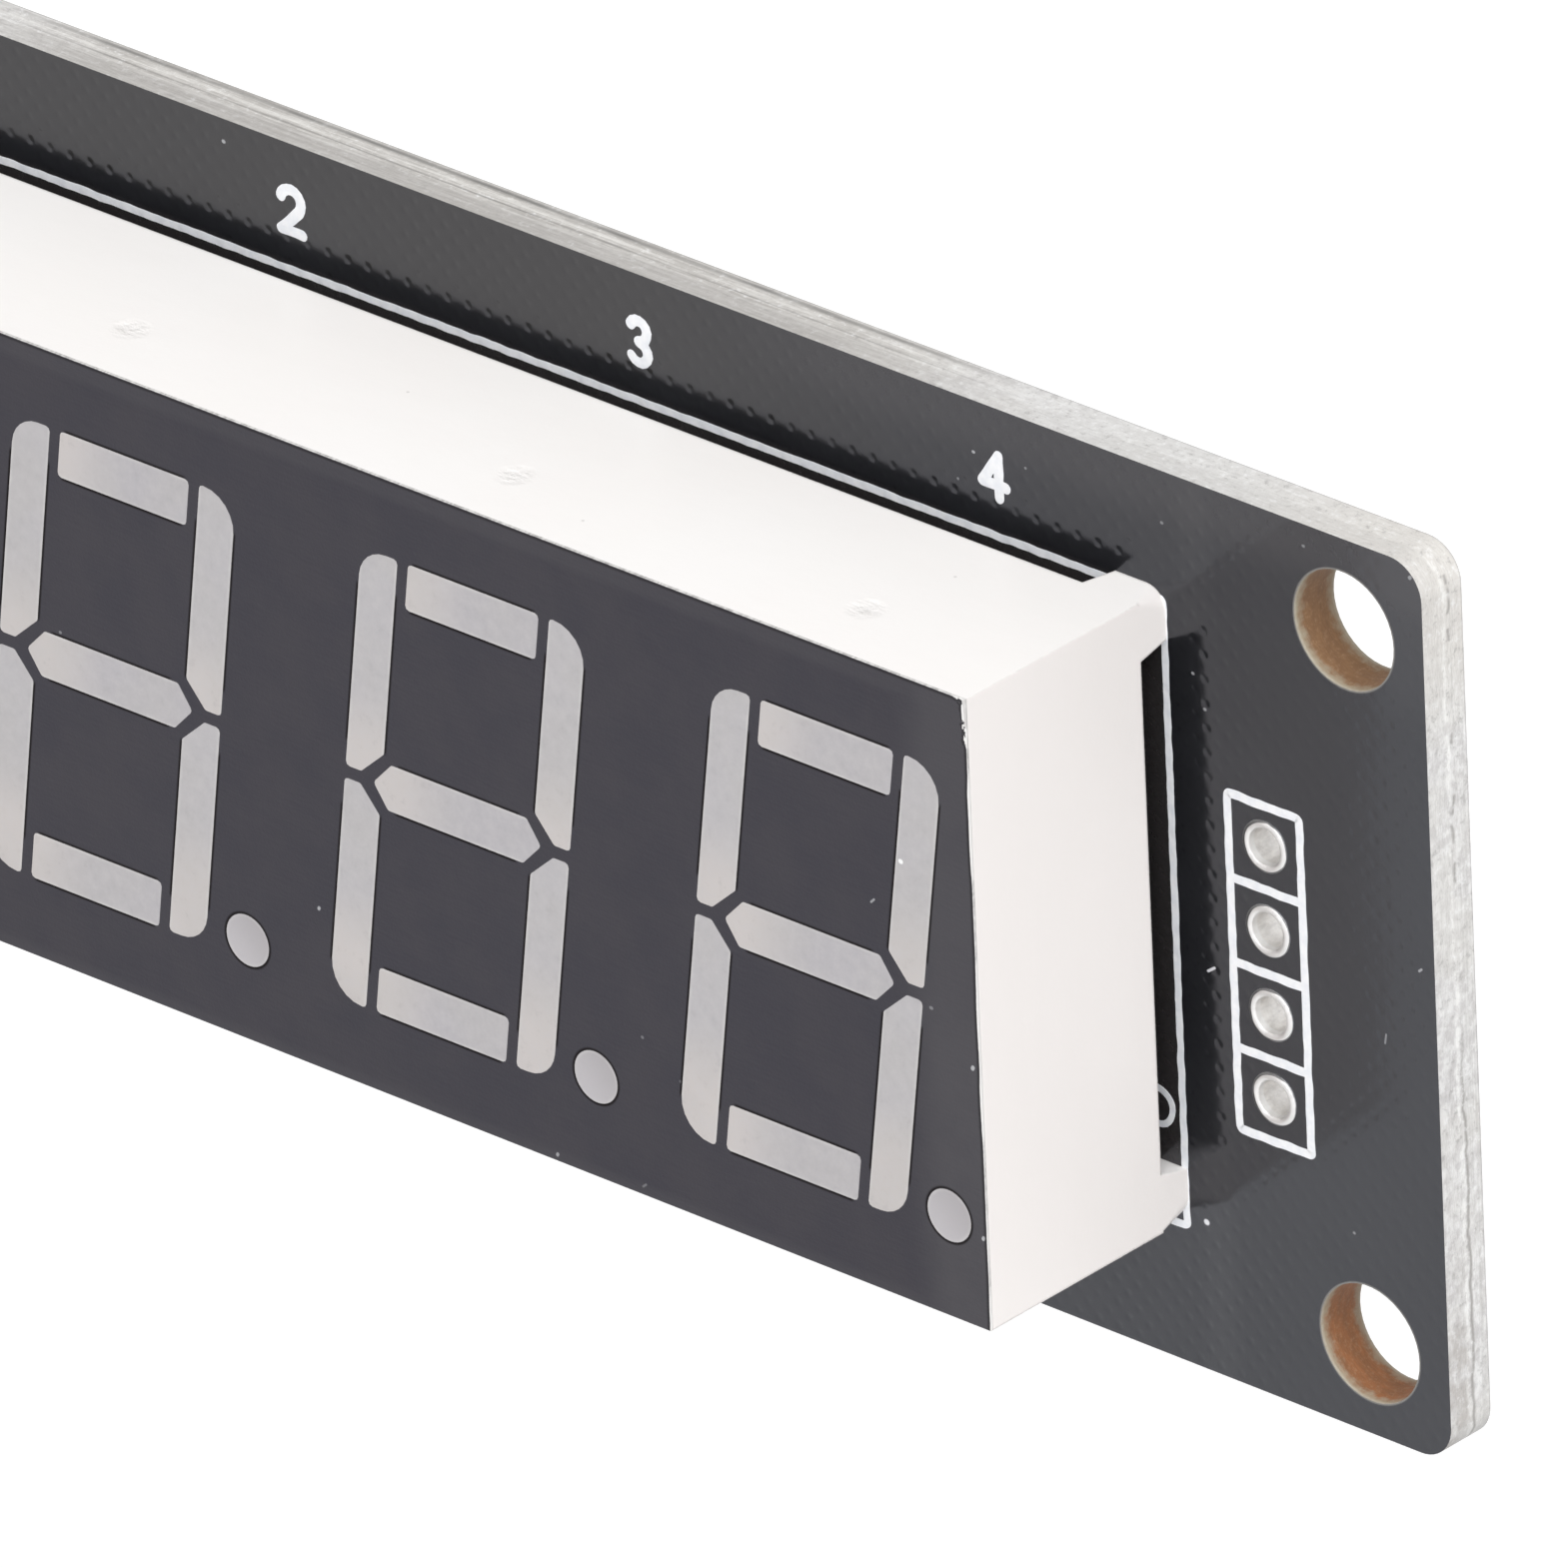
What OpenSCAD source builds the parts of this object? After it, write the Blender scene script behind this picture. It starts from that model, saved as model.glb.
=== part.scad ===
// Seven-segment display module: a four-digit LED display block soldered to a small driver board.
// Millimetres. X runs along the digits, Z is up, and the digits face -Y.
// The origin is the centre of the mounting-hole pattern, on the board's back face.

/* [Board] */
// Width of the board, along X
board_w = 68.6; // [68:0.1:76]
// Height of the board, along Z
board_h = 27; // [26.6:0.1:32]
// Thickness of the board
board_t = 1.6; // [1.2:0.2:2]
// Radius of the board's corners
board_corner_r = 1.1; // [0.5:0.1:2]
// Diameter of the mounting holes
mount_hole_d = 3.5; // [3:0.1:3.6]
// Distance between mounting holes, along X
mount_span_x = 63; // [61:0.1:64]
// Distance between mounting holes, along Z
mount_span_z = 21.5; // [21:0.1:22.5]

/* [Header holes] */
// Distance between neighbouring header holes
header_pitch = 2.54; // [2:0.02:2.6]
// Number of header holes
header_count = 4; // [2:1:5]
// Distance of the header row from the board's middle, along X
header_x = 28.4; // [27.6:0.1:28.8]
// Height of the header row's middle
header_z = -0.54; // [-1:0.02:1]
// Diameter of the plated header holes
header_hole_d = 1.1; // [0.8:0.05:1.1]
// Diameter of the tinned ring round each header hole
header_ring_d = 1.55; // [1.4:0.05:1.8]

/* [Display block] */
// Width of the display block, along X
display_w = 50.3; // [50:0.1:51]
// Height of the display block, along Z
display_h = 19; // [18.6:0.1:19.6]
// Depth of the display block, from its face to its feet
display_d = 8; // [7.6:0.1:9]
// Height of the display's middle above the board's middle
display_z = 0.45; // [-0.5:0.05:0.8]
// Height of the corner feet that hold the block off the board
foot_h = 1.05; // [0.8:0.05:1.2]
// Thickness of the housing's outer walls
wall_t = 1; // [0.8:0.05:1.2]
// Thickness of the reflector that the segment cavities run through
reflector_t = 4.5; // [3.5:0.1:4.8]

/* [Digits] */
// Distance between neighbouring digits
digit_pitch = 12.7; // [12.3:0.05:12.75]
// Height of a digit
digit_h = 14.24; // [13.6:0.02:14.4]
// Lean of the digits, in degrees
digit_slant = 8; // [0:1:10]
// Half the width of a digit, to the outer edge of its upright segments
digit_half_w = 4.07; // [3.9:0.01:4.1]
// Width of the upright segments
upright_w = 1.33; // [1.1:0.01:1.4]
// Width of the level segments
level_w = 1.43; // [1.2:0.01:1.5]
// Diameter of the decimal points
point_d = 1.55; // [1.2:0.05:1.7]

/* [Driver] */
// Length of the driver chip's body, along X
driver_l = 12.8; // [12.6:0.1:13]
// Width of the driver chip's body, along Z
driver_w = 7.5; // [7.2:0.1:7.6]
// Distance across the tips of the driver's leads
driver_span = 10.3; // [10:0.1:10.6]
// Height of the driver above the board
driver_h = 2.45; // [2.2:0.05:2.6]

/* [Hidden] */
$fn = 48;

// Distance that a cutting shape runs past the surface it cuts
past = 0.5;

// Depths into the display block are measured from its face
face_y = -board_t - display_d;
mask_t = 0.08;
body_d = display_d - foot_h;
resin_film_t = 0.15;
die_board_t = 0.8;
die_board_gap = 0.3;
die_board_front = reflector_t + resin_film_t;
potting_d = body_d - 0.35;
foot_leg_x = 2;
foot_leg_z = 1.75;
foot_taper = 0.25;
// The feet's outer corners are sharp where they leave the block, and rounded at the board
foot_root_r = 0.1;
foot_end_r = 0.65;
scar_d = 1.2;
scar_depth = 0.02;
scar_x = [-19.6, -7, 7, 19.6];
scar_y = -7.3;

// Digits: outlines are drawn upright about the digit's centre, and then leaned over
digit_count = 4;
digits_x = 0.095;
digits_z = 0.03;
half_h = digit_h / 2;
inner_half_w = digit_half_w - upright_w;
level_half_l = 2.36;
middle_tip = 3.04;
middle_shoulder = 2.45;
joint_gap = 0.195;
joint_bevel_z = 0.965;
joint_bevel_x = 3.5;
point_x = 4.67;
point_z = -6.46;
outer_r = 1.02;
small_r = 0.13;
// A cavity narrows to these shares of its window, along the segment and across it
cavity_along = 0.42;
cavity_across = 0.75;
chip_w = 0.3;
chip_h = 0.2;

// Display pins: two rows of round wires
pin_d = 0.5;
pin_pitch = 2.54;
pin_row_count = 6;
pin_row_span = 15.24;
pin_end_y = 1.3;
pin_drill_d = 1;
pin_ring_d = 1.7;

// Plated copper and tin
plating_t = 0.05;
land_t = 0.05;
ring_edge_t = 0.03;
ring_dome_t = 0.06;

// Driver chip: its two rows of gull-wing leads
lead_count = 10;
lead_pitch = 1.27;
lead_w = 0.41;
lead_t = 0.25;
lead_bend_r = 0.3;
lead_foot_l = 0.8;
lead_embed = 0.4;
driver_gap = 0.15;
driver_draft = 0.12;
dimple_d = 1;
dimple_depth = 0.1;
driver_land = [0.6, 1.9];

// Small parts stand on end along Z: [x, z] of each, on the back of the board
small_chip = [0.8, 1.6];
bulk_chip = [1.25, 2];
small_cap_h = 0.8;
bulk_cap_h = 1.25;
resistor_h = 0.45;
terminal_t = 0.03;
terminal_l = 0.32;
coat_t = 0.03;
passive_land_l = 0.9;
small_cap_at = [[15.2, -0.5], [17.6, -0.5]];
bulk_cap_at = [[-10.6, 0.45]];
resistor_at = [[20, -0.5], [22.4, -0.5]];

// ---- Outlines ----

function unit(v) = v / norm(v);

// The arc that rounds corner b, between its neighbours a and c
function round_corner(a, b, c, r, steps) =
    let (
        to_a = unit(a - b),
        to_c = unit(c - b),
        half = acos(to_a * to_c) / 2,
        centre = b + unit(to_a + to_c) * r / sin(half),
        start = b + to_a * r / tan(half) - centre,
        from = atan2(start[1], start[0]),
        sweep = sign(cross(b - a, c - b)) * (180 - 2 * half)
    )
    [for (i = [0:steps]) let (t = from + sweep * i / steps) centre + r * [cos(t), sin(t)]];

// A closed outline with each corner rounded to its own radius
function rounded(points, radii) =
    let (n = len(points))
    [for (i = [0:n - 1])
        each round_corner(points[(i + n - 1) % n], points[i], points[(i + 1) % n],
                          radii[i], radii[i] > 0.5 ? 6 : 2)];

function rectangle(w, h) = [[-w / 2, -h / 2], [w / 2, -h / 2], [w / 2, h / 2], [-w / 2, h / 2]];

function reversed(list) = [for (i = [len(list) - 1:-1:0]) list[i]];

// Turns an outline over in X or Z, keeping it counter-clockwise
function flipped(points, sx, sz) =
    let (turned = [for (p = points) [sx * p[0], sz * p[1]]])
    sx * sz > 0 ? turned : reversed(turned);

function leaned(points) = [for (p = points) [p[0] + p[1] * tan(digit_slant), p[1]]];

function middle(points) =
    [for (k = [0, 1]) let (along = [for (p = points) p[k]]) (min(along) + max(along)) / 2];

function shrunk(points, kx, kz) =
    let (c = middle(points))
    [for (p = points) c + [kx * (p[0] - c[0]), kz * (p[1] - c[1])]];

// The upper right upright: its corners, and the radius of each
upright_points = [
    [inner_half_w, joint_bevel_z], [joint_bevel_x, joint_gap], [digit_half_w, joint_gap],
    [digit_half_w, half_h], [inner_half_w, half_h]
];
upright_radii = [small_r, small_r, small_r, outer_r, small_r];

function upright(sx, sz) =
    rounded(leaned(flipped(upright_points, sx, sz)),
            sx * sz > 0 ? upright_radii : reversed(upright_radii));

// The top level segment
level_points = [
    [-level_half_l, half_h - level_w], [level_half_l, half_h - level_w],
    [level_half_l, half_h], [-level_half_l, half_h]
];

function level(sz) = rounded(leaned(flipped(level_points, 1, sz)), [for (p = level_points) small_r]);

// The middle segment, pointed at both ends
middle_points = [
    [-middle_shoulder, -level_w / 2], [middle_shoulder, -level_w / 2], [middle_tip, 0],
    [middle_shoulder, level_w / 2], [-middle_shoulder, level_w / 2], [-middle_tip, 0]
];

middle_bar = rounded(leaned(middle_points), [for (p = middle_points) small_r]);

// Each segment is its outline, and the shares that its cavity narrows to in X and Z
SEGMENTS = concat(
    [for (sx = [-1, 1]) for (sz = [-1, 1]) [upright(sx, sz), cavity_across, cavity_along]],
    [for (sz = [-1, 1]) [level(sz), cavity_along, cavity_across]],
    [[middle_bar, cavity_along, cavity_across]]
);

// ---- Placing ----

// Extrudes an outline drawn in X and Z, from y to y + t
module slab(y, t) {
    translate([0, y + t, 0])
        rotate([90, 0, 0])
            linear_extrude(t) children();
}

// A round bar along Y, from y to y + l
module bar(d, y, l) {
    translate([0, y, 0])
        rotate([-90, 0, 0]) cylinder(d = d, h = l);
}

// Turns a profile, drawn as radius and Y, about the Y axis
module turned() {
    rotate([-90, 0, 0]) rotate_extrude() children();
}

// A box centred in X and Z, standing from y to y + size[1]
module block(size, y) {
    translate([-size[0] / 2, y, -size[2] / 2]) cube(size);
}

// A solid through several outlines, each drawn in X and Z: rings = [[outline, y], ...]
module lofted(rings) {
    n = len(rings[0][0]);
    last = (len(rings) - 1) * n;
    points = [for (ring = rings) for (p = ring[0]) [p[0], ring[1], p[1]]];
    sides = [for (k = [0:len(rings) - 2]) for (i = [0:n - 1])
        let (a = k * n + i, b = k * n + (i + 1) % n)
        each [[a, b, b + n], [a, b + n, a + n]]];
    caps = [[for (i = [n - 1:-1:0]) i], [for (i = [0:n - 1]) last + i]];
    polyhedron(points, concat(caps, sides));
}

module at_mount_holes() {
    for (sx = [-1, 1]) for (sz = [-1, 1])
        translate([sx * mount_span_x / 2, 0, sz * mount_span_z / 2]) children();
}

module at_header_holes() {
    for (i = [0:header_count - 1])
        translate([header_x, 0, header_z + (i - (header_count - 1) / 2) * header_pitch]) children();
}

// Puts children at each pin of the display's upper row (1) or lower row (-1)
module at_pin_row(row) {
    for (i = [0:pin_row_count - 1])
        translate([(i - (pin_row_count - 1) / 2) * pin_pitch, 0, display_z + row * pin_row_span / 2])
            children();
}

module at_display_pins() {
    at_pin_row(1) children();
    at_pin_row(-1) children();
}

module at_digits() {
    for (i = [0:digit_count - 1])
        translate([digits_x + (i - (digit_count - 1) / 2) * digit_pitch, 0, display_z + digits_z])
            children();
}

module at_places(places) {
    for (p = places) translate([p[0], 0, p[1]]) children();
}

// Puts children at both ends of a part that is l long in Z, turned to face outwards
module at_ends(l) {
    for (turn = [0, 180]) rotate([0, turn, 0]) translate([0, 0, l / 2]) children();
}

// ---- Board ----

module rounded_rectangle(w, h, r) {
    square([w, h - 2 * r], center = true);
    square([w - 2 * r, h], center = true);
    for (sx = [-1, 1]) for (sz = [-1, 1])
        translate([sx * (w / 2 - r), sz * (h / 2 - r)]) circle(r);
}

module main_board() {
    through = board_t + 2 * past;
    color([0.14, 0.14, 0.16]) difference() {
        slab(-board_t, board_t) rounded_rectangle(board_w, board_h, board_corner_r);
        at_mount_holes() bar(mount_hole_d, -board_t - past, through);
        at_header_holes() bar(header_hole_d + 2 * plating_t, -board_t - past, through);
        at_display_pins() bar(pin_drill_d, -board_t - past, through);
    }
}

// The section of a plated barrel with a domed ring on each face of the board
module plated_section(bore_r, ring_r) {
    steps = 6;
    wall_r = bore_r + plating_t;
    function rise(s) = ring_edge_t + ring_dome_t * sin(180 * s);
    dome = [for (i = [0:steps]) let (s = i / steps) [bore_r + (ring_r - bore_r) * s, rise(s)]];
    polygon(concat(
        dome,
        [[ring_r, 0], [wall_r, 0], [wall_r, -board_t], [ring_r, -board_t]],
        [for (p = reversed(dome)) [p[0], -board_t - p[1]]]
    ));
}

module header_pads() {
    color([0.86, 0.85, 0.83]) at_header_holes()
        turned() plated_section(header_hole_d / 2, header_ring_d / 2);
}

module display_pad_section() {
    plated_section(pin_drill_d / 2 - plating_t, pin_ring_d / 2);
}

module display_pads() {
    color([0.86, 0.85, 0.83]) at_display_pins() turned() display_pad_section();
}

// ---- Display block ----

module face_windows() {
    at_digits() slab(face_y, mask_t) {
        for (s = SEGMENTS) polygon(s[0]);
        translate([point_x, point_z]) circle(d = point_d);
    }
}

// The funnels from the face windows down to the light-emitting chips
module cavities() {
    at_digits() {
        for (s = SEGMENTS)
            lofted([[s[0], face_y + mask_t], [shrunk(s[0], s[1], s[2]), face_y + reflector_t]]);
        translate([point_x, face_y + mask_t, point_z]) rotate([-90, 0, 0])
            cylinder(d1 = point_d, d2 = cavity_across * point_d, h = reflector_t - mask_t);
    }
}

module display_slab(depth, t, margin = 0) {
    translate([0, 0, display_z])
        block([display_w - 2 * margin, t, display_h - 2 * margin], face_y + depth);
}

// The corner where a foot stands: its two legs taper towards the board
module foot_corner() {
    x0 = display_w / 2 - foot_leg_x;
    z0 = display_h / 2 - foot_leg_z;
    intersection() {
        linear_extrude(display_h) polygon([
            [x0, face_y + body_d], [display_w, face_y + body_d],
            [display_w, -board_t], [x0 + foot_taper, -board_t]
        ]);
        rotate([0, 90, 0]) linear_extrude(display_w) polygon([
            [-z0, face_y + body_d], [-display_h, face_y + body_d],
            [-display_h, -board_t], [-z0 - foot_taper, -board_t]
        ]);
    }
}

// The display's outline in X and Z, with its corners rounded to r
function foot_outline(r) =
    let (steps = 8, corners = rectangle(display_w, display_h))
    [for (i = [0:3])
        each round_corner(corners[(i + 3) % 4], corners[i], corners[(i + 1) % 4], r, steps)];

module feet() {
    root_y = face_y + body_d;
    translate([0, 0, display_z]) intersection() {
        lofted([[foot_outline(foot_root_r), root_y], [foot_outline(foot_end_r), -board_t]]);
        for (sx = [0, 1]) for (sz = [0, 1])
            mirror([sx, 0, 0]) mirror([0, 0, sz]) foot_corner();
    }
}

// Shallow dished scars on the top of the housing, where its mould was filled
module gate_scars() {
    steps = 4;
    scar_r = scar_d / 2;
    dish = [for (i = [0:steps]) let (s = i / steps) [scar_r * s, scar_depth * (s * s - 1)]];
    for (x = scar_x) translate([x, scar_y, display_z + display_h / 2])
        rotate_extrude() polygon(concat(dish, [[scar_r, past], [0, past]]));
}

module display_housing() {
    color([0.95, 0.94, 0.93]) difference() {
        union() {
            display_slab(mask_t, body_d - mask_t);
            feet();
        }
        cavities();
        display_slab(reflector_t, display_d - reflector_t + past, wall_t);
        gate_scars();
    }
}

module face_mask() {
    color([0.27, 0.26, 0.3]) difference() {
        display_slab(0, mask_t);
        face_windows();
    }
}

module die_board_blank() {
    display_slab(die_board_front, die_board_t, wall_t + die_board_gap);
}

module segment_resin() {
    color([0.74, 0.73, 0.74]) difference() {
        union() {
            face_windows();
            cavities();
            display_slab(reflector_t, potting_d - reflector_t, wall_t);
        }
        die_board_blank();
        led_chips();
        upper_pins();
        lower_pins();
    }
}

module die_board() {
    color([0.8, 0.79, 0.7]) difference() {
        die_board_blank();
        upper_pins();
        lower_pins();
    }
}

module led_chips() {
    chip_y = face_y + die_board_front - chip_h;
    color([0.85, 0.6, 0.2]) at_digits() {
        for (s = SEGMENTS)
            at_places([middle(s[0])]) block([chip_w, chip_h, chip_w], chip_y);
        at_places([[point_x, point_z]]) block([chip_w, chip_h, chip_w], chip_y);
    }
}

module pin_row(row) {
    pin_y = face_y + die_board_front;
    color([0.8, 0.8, 0.78]) at_pin_row(row) bar(pin_d, pin_y, pin_end_y - pin_y);
}

module upper_pins() {
    pin_row(1);
}

module lower_pins() {
    pin_row(-1);
}

// The hollow curve of molten solder: out along the pad by run, and up the metal by rise
function fillet_curve(run, rise) =
    let (steps = 5)
    [for (i = [0:steps]) let (t = 90 * i / steps) [run * (1 - sin(t)), rise * (1 - cos(t))]];

// Solder fills the plated hole, covers its ring and climbs the pin
module pin_solder() {
    pin_r = pin_d / 2;
    bore_r = pin_drill_d / 2 - plating_t;
    foot_r = pin_ring_d / 2 - 0.1;
    foot_y = ring_edge_t + ring_dome_t;
    tip_r = pin_r + 0.03;
    climb = 0.85;
    color([0.78, 0.78, 0.77]) at_display_pins() turned() difference() {
        polygon(concat(
            [[pin_r, -board_t], [bore_r, -board_t], [bore_r, 0], [foot_r, 0]],
            [for (p = fillet_curve(foot_r - tip_r, climb)) p + [tip_r, foot_y]],
            [[pin_r, foot_y + climb]]
        ));
        display_pad_section();
    }
}

// ---- Driver chip ----

// One side of a bent strip: the path moved sideways by d, its bends rounded to the given radii
function strip_side(path, d, radii) =
    let (
        n = len(path),
        along = [for (i = [0:n - 2]) unit(path[i + 1] - path[i])],
        side = [for (v = along) [-v[1], v[0]]],
        moved = [for (i = [0:n - 1])
            i == 0 ? path[0] + d * side[0]
            : i == n - 1 ? path[i] + d * side[n - 2]
            : path[i] + d * (side[i - 1] + side[i]) / (1 + side[i - 1] * side[i])]
    )
    concat(
        [moved[0]],
        [for (i = [1:n - 2]) each round_corner(moved[i - 1], moved[i], moved[i + 1], radii[i - 1], 4)],
        [moved[n - 1]]
    );

lead_mid_y = driver_gap + (driver_h - driver_gap) / 2;
lead_foot_y = land_t + lead_t / 2;
lead_path = [
    [driver_w / 2 - lead_embed, lead_mid_y],
    [driver_w / 2 + 0.3, lead_mid_y],
    [driver_span / 2 - lead_foot_l, lead_foot_y],
    [driver_span / 2, lead_foot_y]
];

// Extrudes an outline drawn as Z and Y along X, centred
module strip(w) {
    translate([w / 2, 0, 0]) rotate([0, -90, 0]) linear_extrude(w) children();
}

module gull_wing() {
    wide_r = lead_bend_r + lead_t / 2;
    tight_r = lead_bend_r - lead_t / 2;
    strip(lead_w) polygon(concat(
        strip_side(lead_path, lead_t / 2, [wide_r, tight_r]),
        reversed(strip_side(lead_path, -lead_t / 2, [tight_r, wide_r]))
    ));
}

// Puts children at each lead, with Z pointing away from the chip's body
module at_leads() {
    translate([0, 0, display_z]) at_ends(0) for (i = [0:lead_count - 1])
        translate([(i - (lead_count - 1) / 2) * lead_pitch, 0, 0]) children();
}

module driver_body() {
    narrow = rectangle(driver_l - 2 * driver_draft, driver_w - 2 * driver_draft);
    dimple_x = -driver_l / 2 + 1.3;
    dimple_z = -driver_w / 2 + 1.3;
    color([0.16, 0.16, 0.17]) difference() {
        translate([0, 0, display_z]) lofted([
            [narrow, driver_gap],
            [rectangle(driver_l, driver_w), lead_mid_y],
            [narrow, driver_h]
        ]);
        driver_leads();
        translate([dimple_x, 0, display_z + dimple_z]) bar(dimple_d, driver_h - dimple_depth, past);
    }
}

module driver_leads() {
    color([0.78, 0.78, 0.77]) at_leads() gull_wing();
}

module driver_pads() {
    land_z = driver_span / 2 + 0.45 - driver_land[1] / 2;
    color([0.86, 0.85, 0.83]) at_leads()
        translate([0, 0, land_z]) block([driver_land[0], land_t, driver_land[1]], 0);
}

// Solder at the toe and heel of each lead
module driver_solder() {
    tip = driver_span / 2;
    heel = tip - lead_foot_l;
    rise = 0.7 * lead_t;
    function drawn(p, z, side) = [z + side * p[0], land_t + p[1]];
    color([0.78, 0.78, 0.77]) difference() {
        at_leads() strip(driver_land[0] - 0.08) polygon(concat(
            [for (p = fillet_curve(0.35, rise)) drawn(p, tip, 1)],
            [for (p = reversed(fillet_curve(0.3, rise))) drawn(p, heel, -1)]
        ));
        driver_leads();
    }
}

// ---- Capacitors and resistors ----

module capacitor_body(size, h) {
    block([size[0] - 2 * terminal_t, h - 2 * terminal_t, size[1] - 2 * terminal_t],
          land_t + terminal_t);
}

module resistor_body() {
    block([small_chip[0], resistor_h - 2 * terminal_t, small_chip[1] - 2 * terminal_t],
          land_t + terminal_t);
}

// The two plated ends that wrap a part's body, which is given as a child
module terminals(size, h) {
    difference() {
        at_ends(size[1]) translate([0, 0, -terminal_l / 2]) block([size[0], h, terminal_l], land_t);
        children();
    }
}

module end_lands(size) {
    at_ends(size[1]) translate([0, 0, 0.1]) block([size[0] + 0.1, land_t, passive_land_l], 0);
}

module end_solder(size, h) {
    at_ends(size[1]) strip(size[0])
        polygon(concat([[0, land_t]], [for (p = fillet_curve(0.4, 0.7 * h)) p + [0, land_t]]));
}

module capacitor_bodies() {
    color([0.62, 0.48, 0.34]) {
        at_places(small_cap_at) capacitor_body(small_chip, small_cap_h);
        at_places(bulk_cap_at) capacitor_body(bulk_chip, bulk_cap_h);
    }
}

module capacitor_terminals() {
    color([0.8, 0.8, 0.79]) {
        at_places(small_cap_at)
            terminals(small_chip, small_cap_h) capacitor_body(small_chip, small_cap_h);
        at_places(bulk_cap_at)
            terminals(bulk_chip, bulk_cap_h) capacitor_body(bulk_chip, bulk_cap_h);
    }
}

module resistor_bodies() {
    color([0.92, 0.91, 0.88]) at_places(resistor_at) resistor_body();
}

module resistor_coats() {
    color([0.1, 0.1, 0.11]) at_places(resistor_at)
        block([small_chip[0] - 0.04, coat_t, small_chip[1] - 2 * terminal_l],
              land_t + resistor_h - terminal_t);
}

module resistor_terminals() {
    color([0.8, 0.8, 0.79]) at_places(resistor_at) terminals(small_chip, resistor_h) resistor_body();
}

module passive_pads() {
    color([0.86, 0.85, 0.83]) {
        at_places(concat(small_cap_at, resistor_at)) end_lands(small_chip);
        at_places(bulk_cap_at) end_lands(bulk_chip);
    }
}

module passive_solder() {
    color([0.78, 0.78, 0.77]) {
        at_places(small_cap_at) end_solder(small_chip, small_cap_h);
        at_places(bulk_cap_at) end_solder(bulk_chip, bulk_cap_h);
        at_places(resistor_at) end_solder(small_chip, resistor_h);
    }
}

main_board();
header_pads();
display_pads();
display_housing();
face_mask();
segment_resin();
die_board();
led_chips();
upper_pins();
lower_pins();
pin_solder();
driver_body();
driver_leads();
driver_pads();
driver_solder();
capacitor_bodies();
capacitor_terminals();
resistor_bodies();
resistor_coats();
resistor_terminals();
passive_pads();
passive_solder();
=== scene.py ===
"""Looks for the seven segment display module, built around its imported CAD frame. Metres, +Z up."""
import math

import bmesh
import bpy
from mathutils import Matrix, Vector, noise


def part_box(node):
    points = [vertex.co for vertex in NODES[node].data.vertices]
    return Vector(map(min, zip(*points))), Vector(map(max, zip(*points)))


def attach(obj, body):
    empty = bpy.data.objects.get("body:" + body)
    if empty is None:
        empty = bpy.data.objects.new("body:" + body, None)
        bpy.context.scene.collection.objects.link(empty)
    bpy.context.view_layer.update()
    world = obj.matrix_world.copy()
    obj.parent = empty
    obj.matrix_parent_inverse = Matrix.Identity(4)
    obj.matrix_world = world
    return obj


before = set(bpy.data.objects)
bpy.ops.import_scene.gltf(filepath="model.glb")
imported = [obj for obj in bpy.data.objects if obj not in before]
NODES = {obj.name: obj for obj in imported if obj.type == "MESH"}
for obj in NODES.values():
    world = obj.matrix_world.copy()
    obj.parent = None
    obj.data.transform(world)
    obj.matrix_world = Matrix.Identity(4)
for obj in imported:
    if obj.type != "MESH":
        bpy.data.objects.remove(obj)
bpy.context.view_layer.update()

MM = 0.001
BOARD_LOW, BOARD_HIGH = [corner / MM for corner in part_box("main_board")]
BLOCK_LOW, BLOCK_HIGH = [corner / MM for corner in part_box("display_housing")]

# Places on the object are in millimetres, in the row frame
MOUNT_HOLE_X = 31.5
MOUNT_HOLE_Z = 10.75
MOUNT_HOLE_R = 1.75
HEADER_X = 28.4
HEADER_Z = -0.54
HEADER_PITCH = 2.54
DIGIT_PITCH = 12.7
DIGITS_X = 0.095
DIGITS_Z = 0.48
DIGIT_LEAN = 8
# In a digit, from its middle: the uprights' and outer level segments' middle lines, and its point
UPRIGHT_X = 3.405
LEVEL_Z = 6.405
POINT_X, POINT_Z = 4.67, -6.46


# ---- Camera, room and light ----

CAMERA_AIM = Vector((18.4906, -9.6, 5.2958)) * MM
CAMERA_DISTANCE = 1058.18 * MM
CAMERA_AZIMUTH = math.radians(43.115)
CAMERA_ELEVATION = math.radians(27.8)
CAMERA_ROLL = math.radians(-2.549)
CAMERA_LENS = 914.36

FLOOR_Z = -60 * MM
FLOOR_SIZE = 6.0
FLOOR_COLOUR = 0.7
FLOOR_GLOW = 0.45
SKY_LIGHT = 0.3
KEY_LAMP = {"azimuth": 55, "elevation": 46, "distance": 1.2, "size": 1.0, "power": 16.8}
FILL_LAMP = {"azimuth": -45, "elevation": 30, "distance": 1.2, "size": 1.0, "power": 3.5}


def direction(azimuth, elevation):
    """From the object towards a place at this azimuth and elevation. Azimuth 0 is in front, on -Y."""
    return Vector((
        math.sin(azimuth) * math.cos(elevation),
        -math.cos(azimuth) * math.cos(elevation),
        math.sin(elevation),
    ))


def facing(back, roll=0.0):
    """The rotation of a lamp or camera that looks along -back."""
    turn = (-back).to_track_quat("-Z", "Y").to_matrix()
    return (turn @ Matrix.Rotation(roll, 3, "Z")).to_euler()


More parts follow.
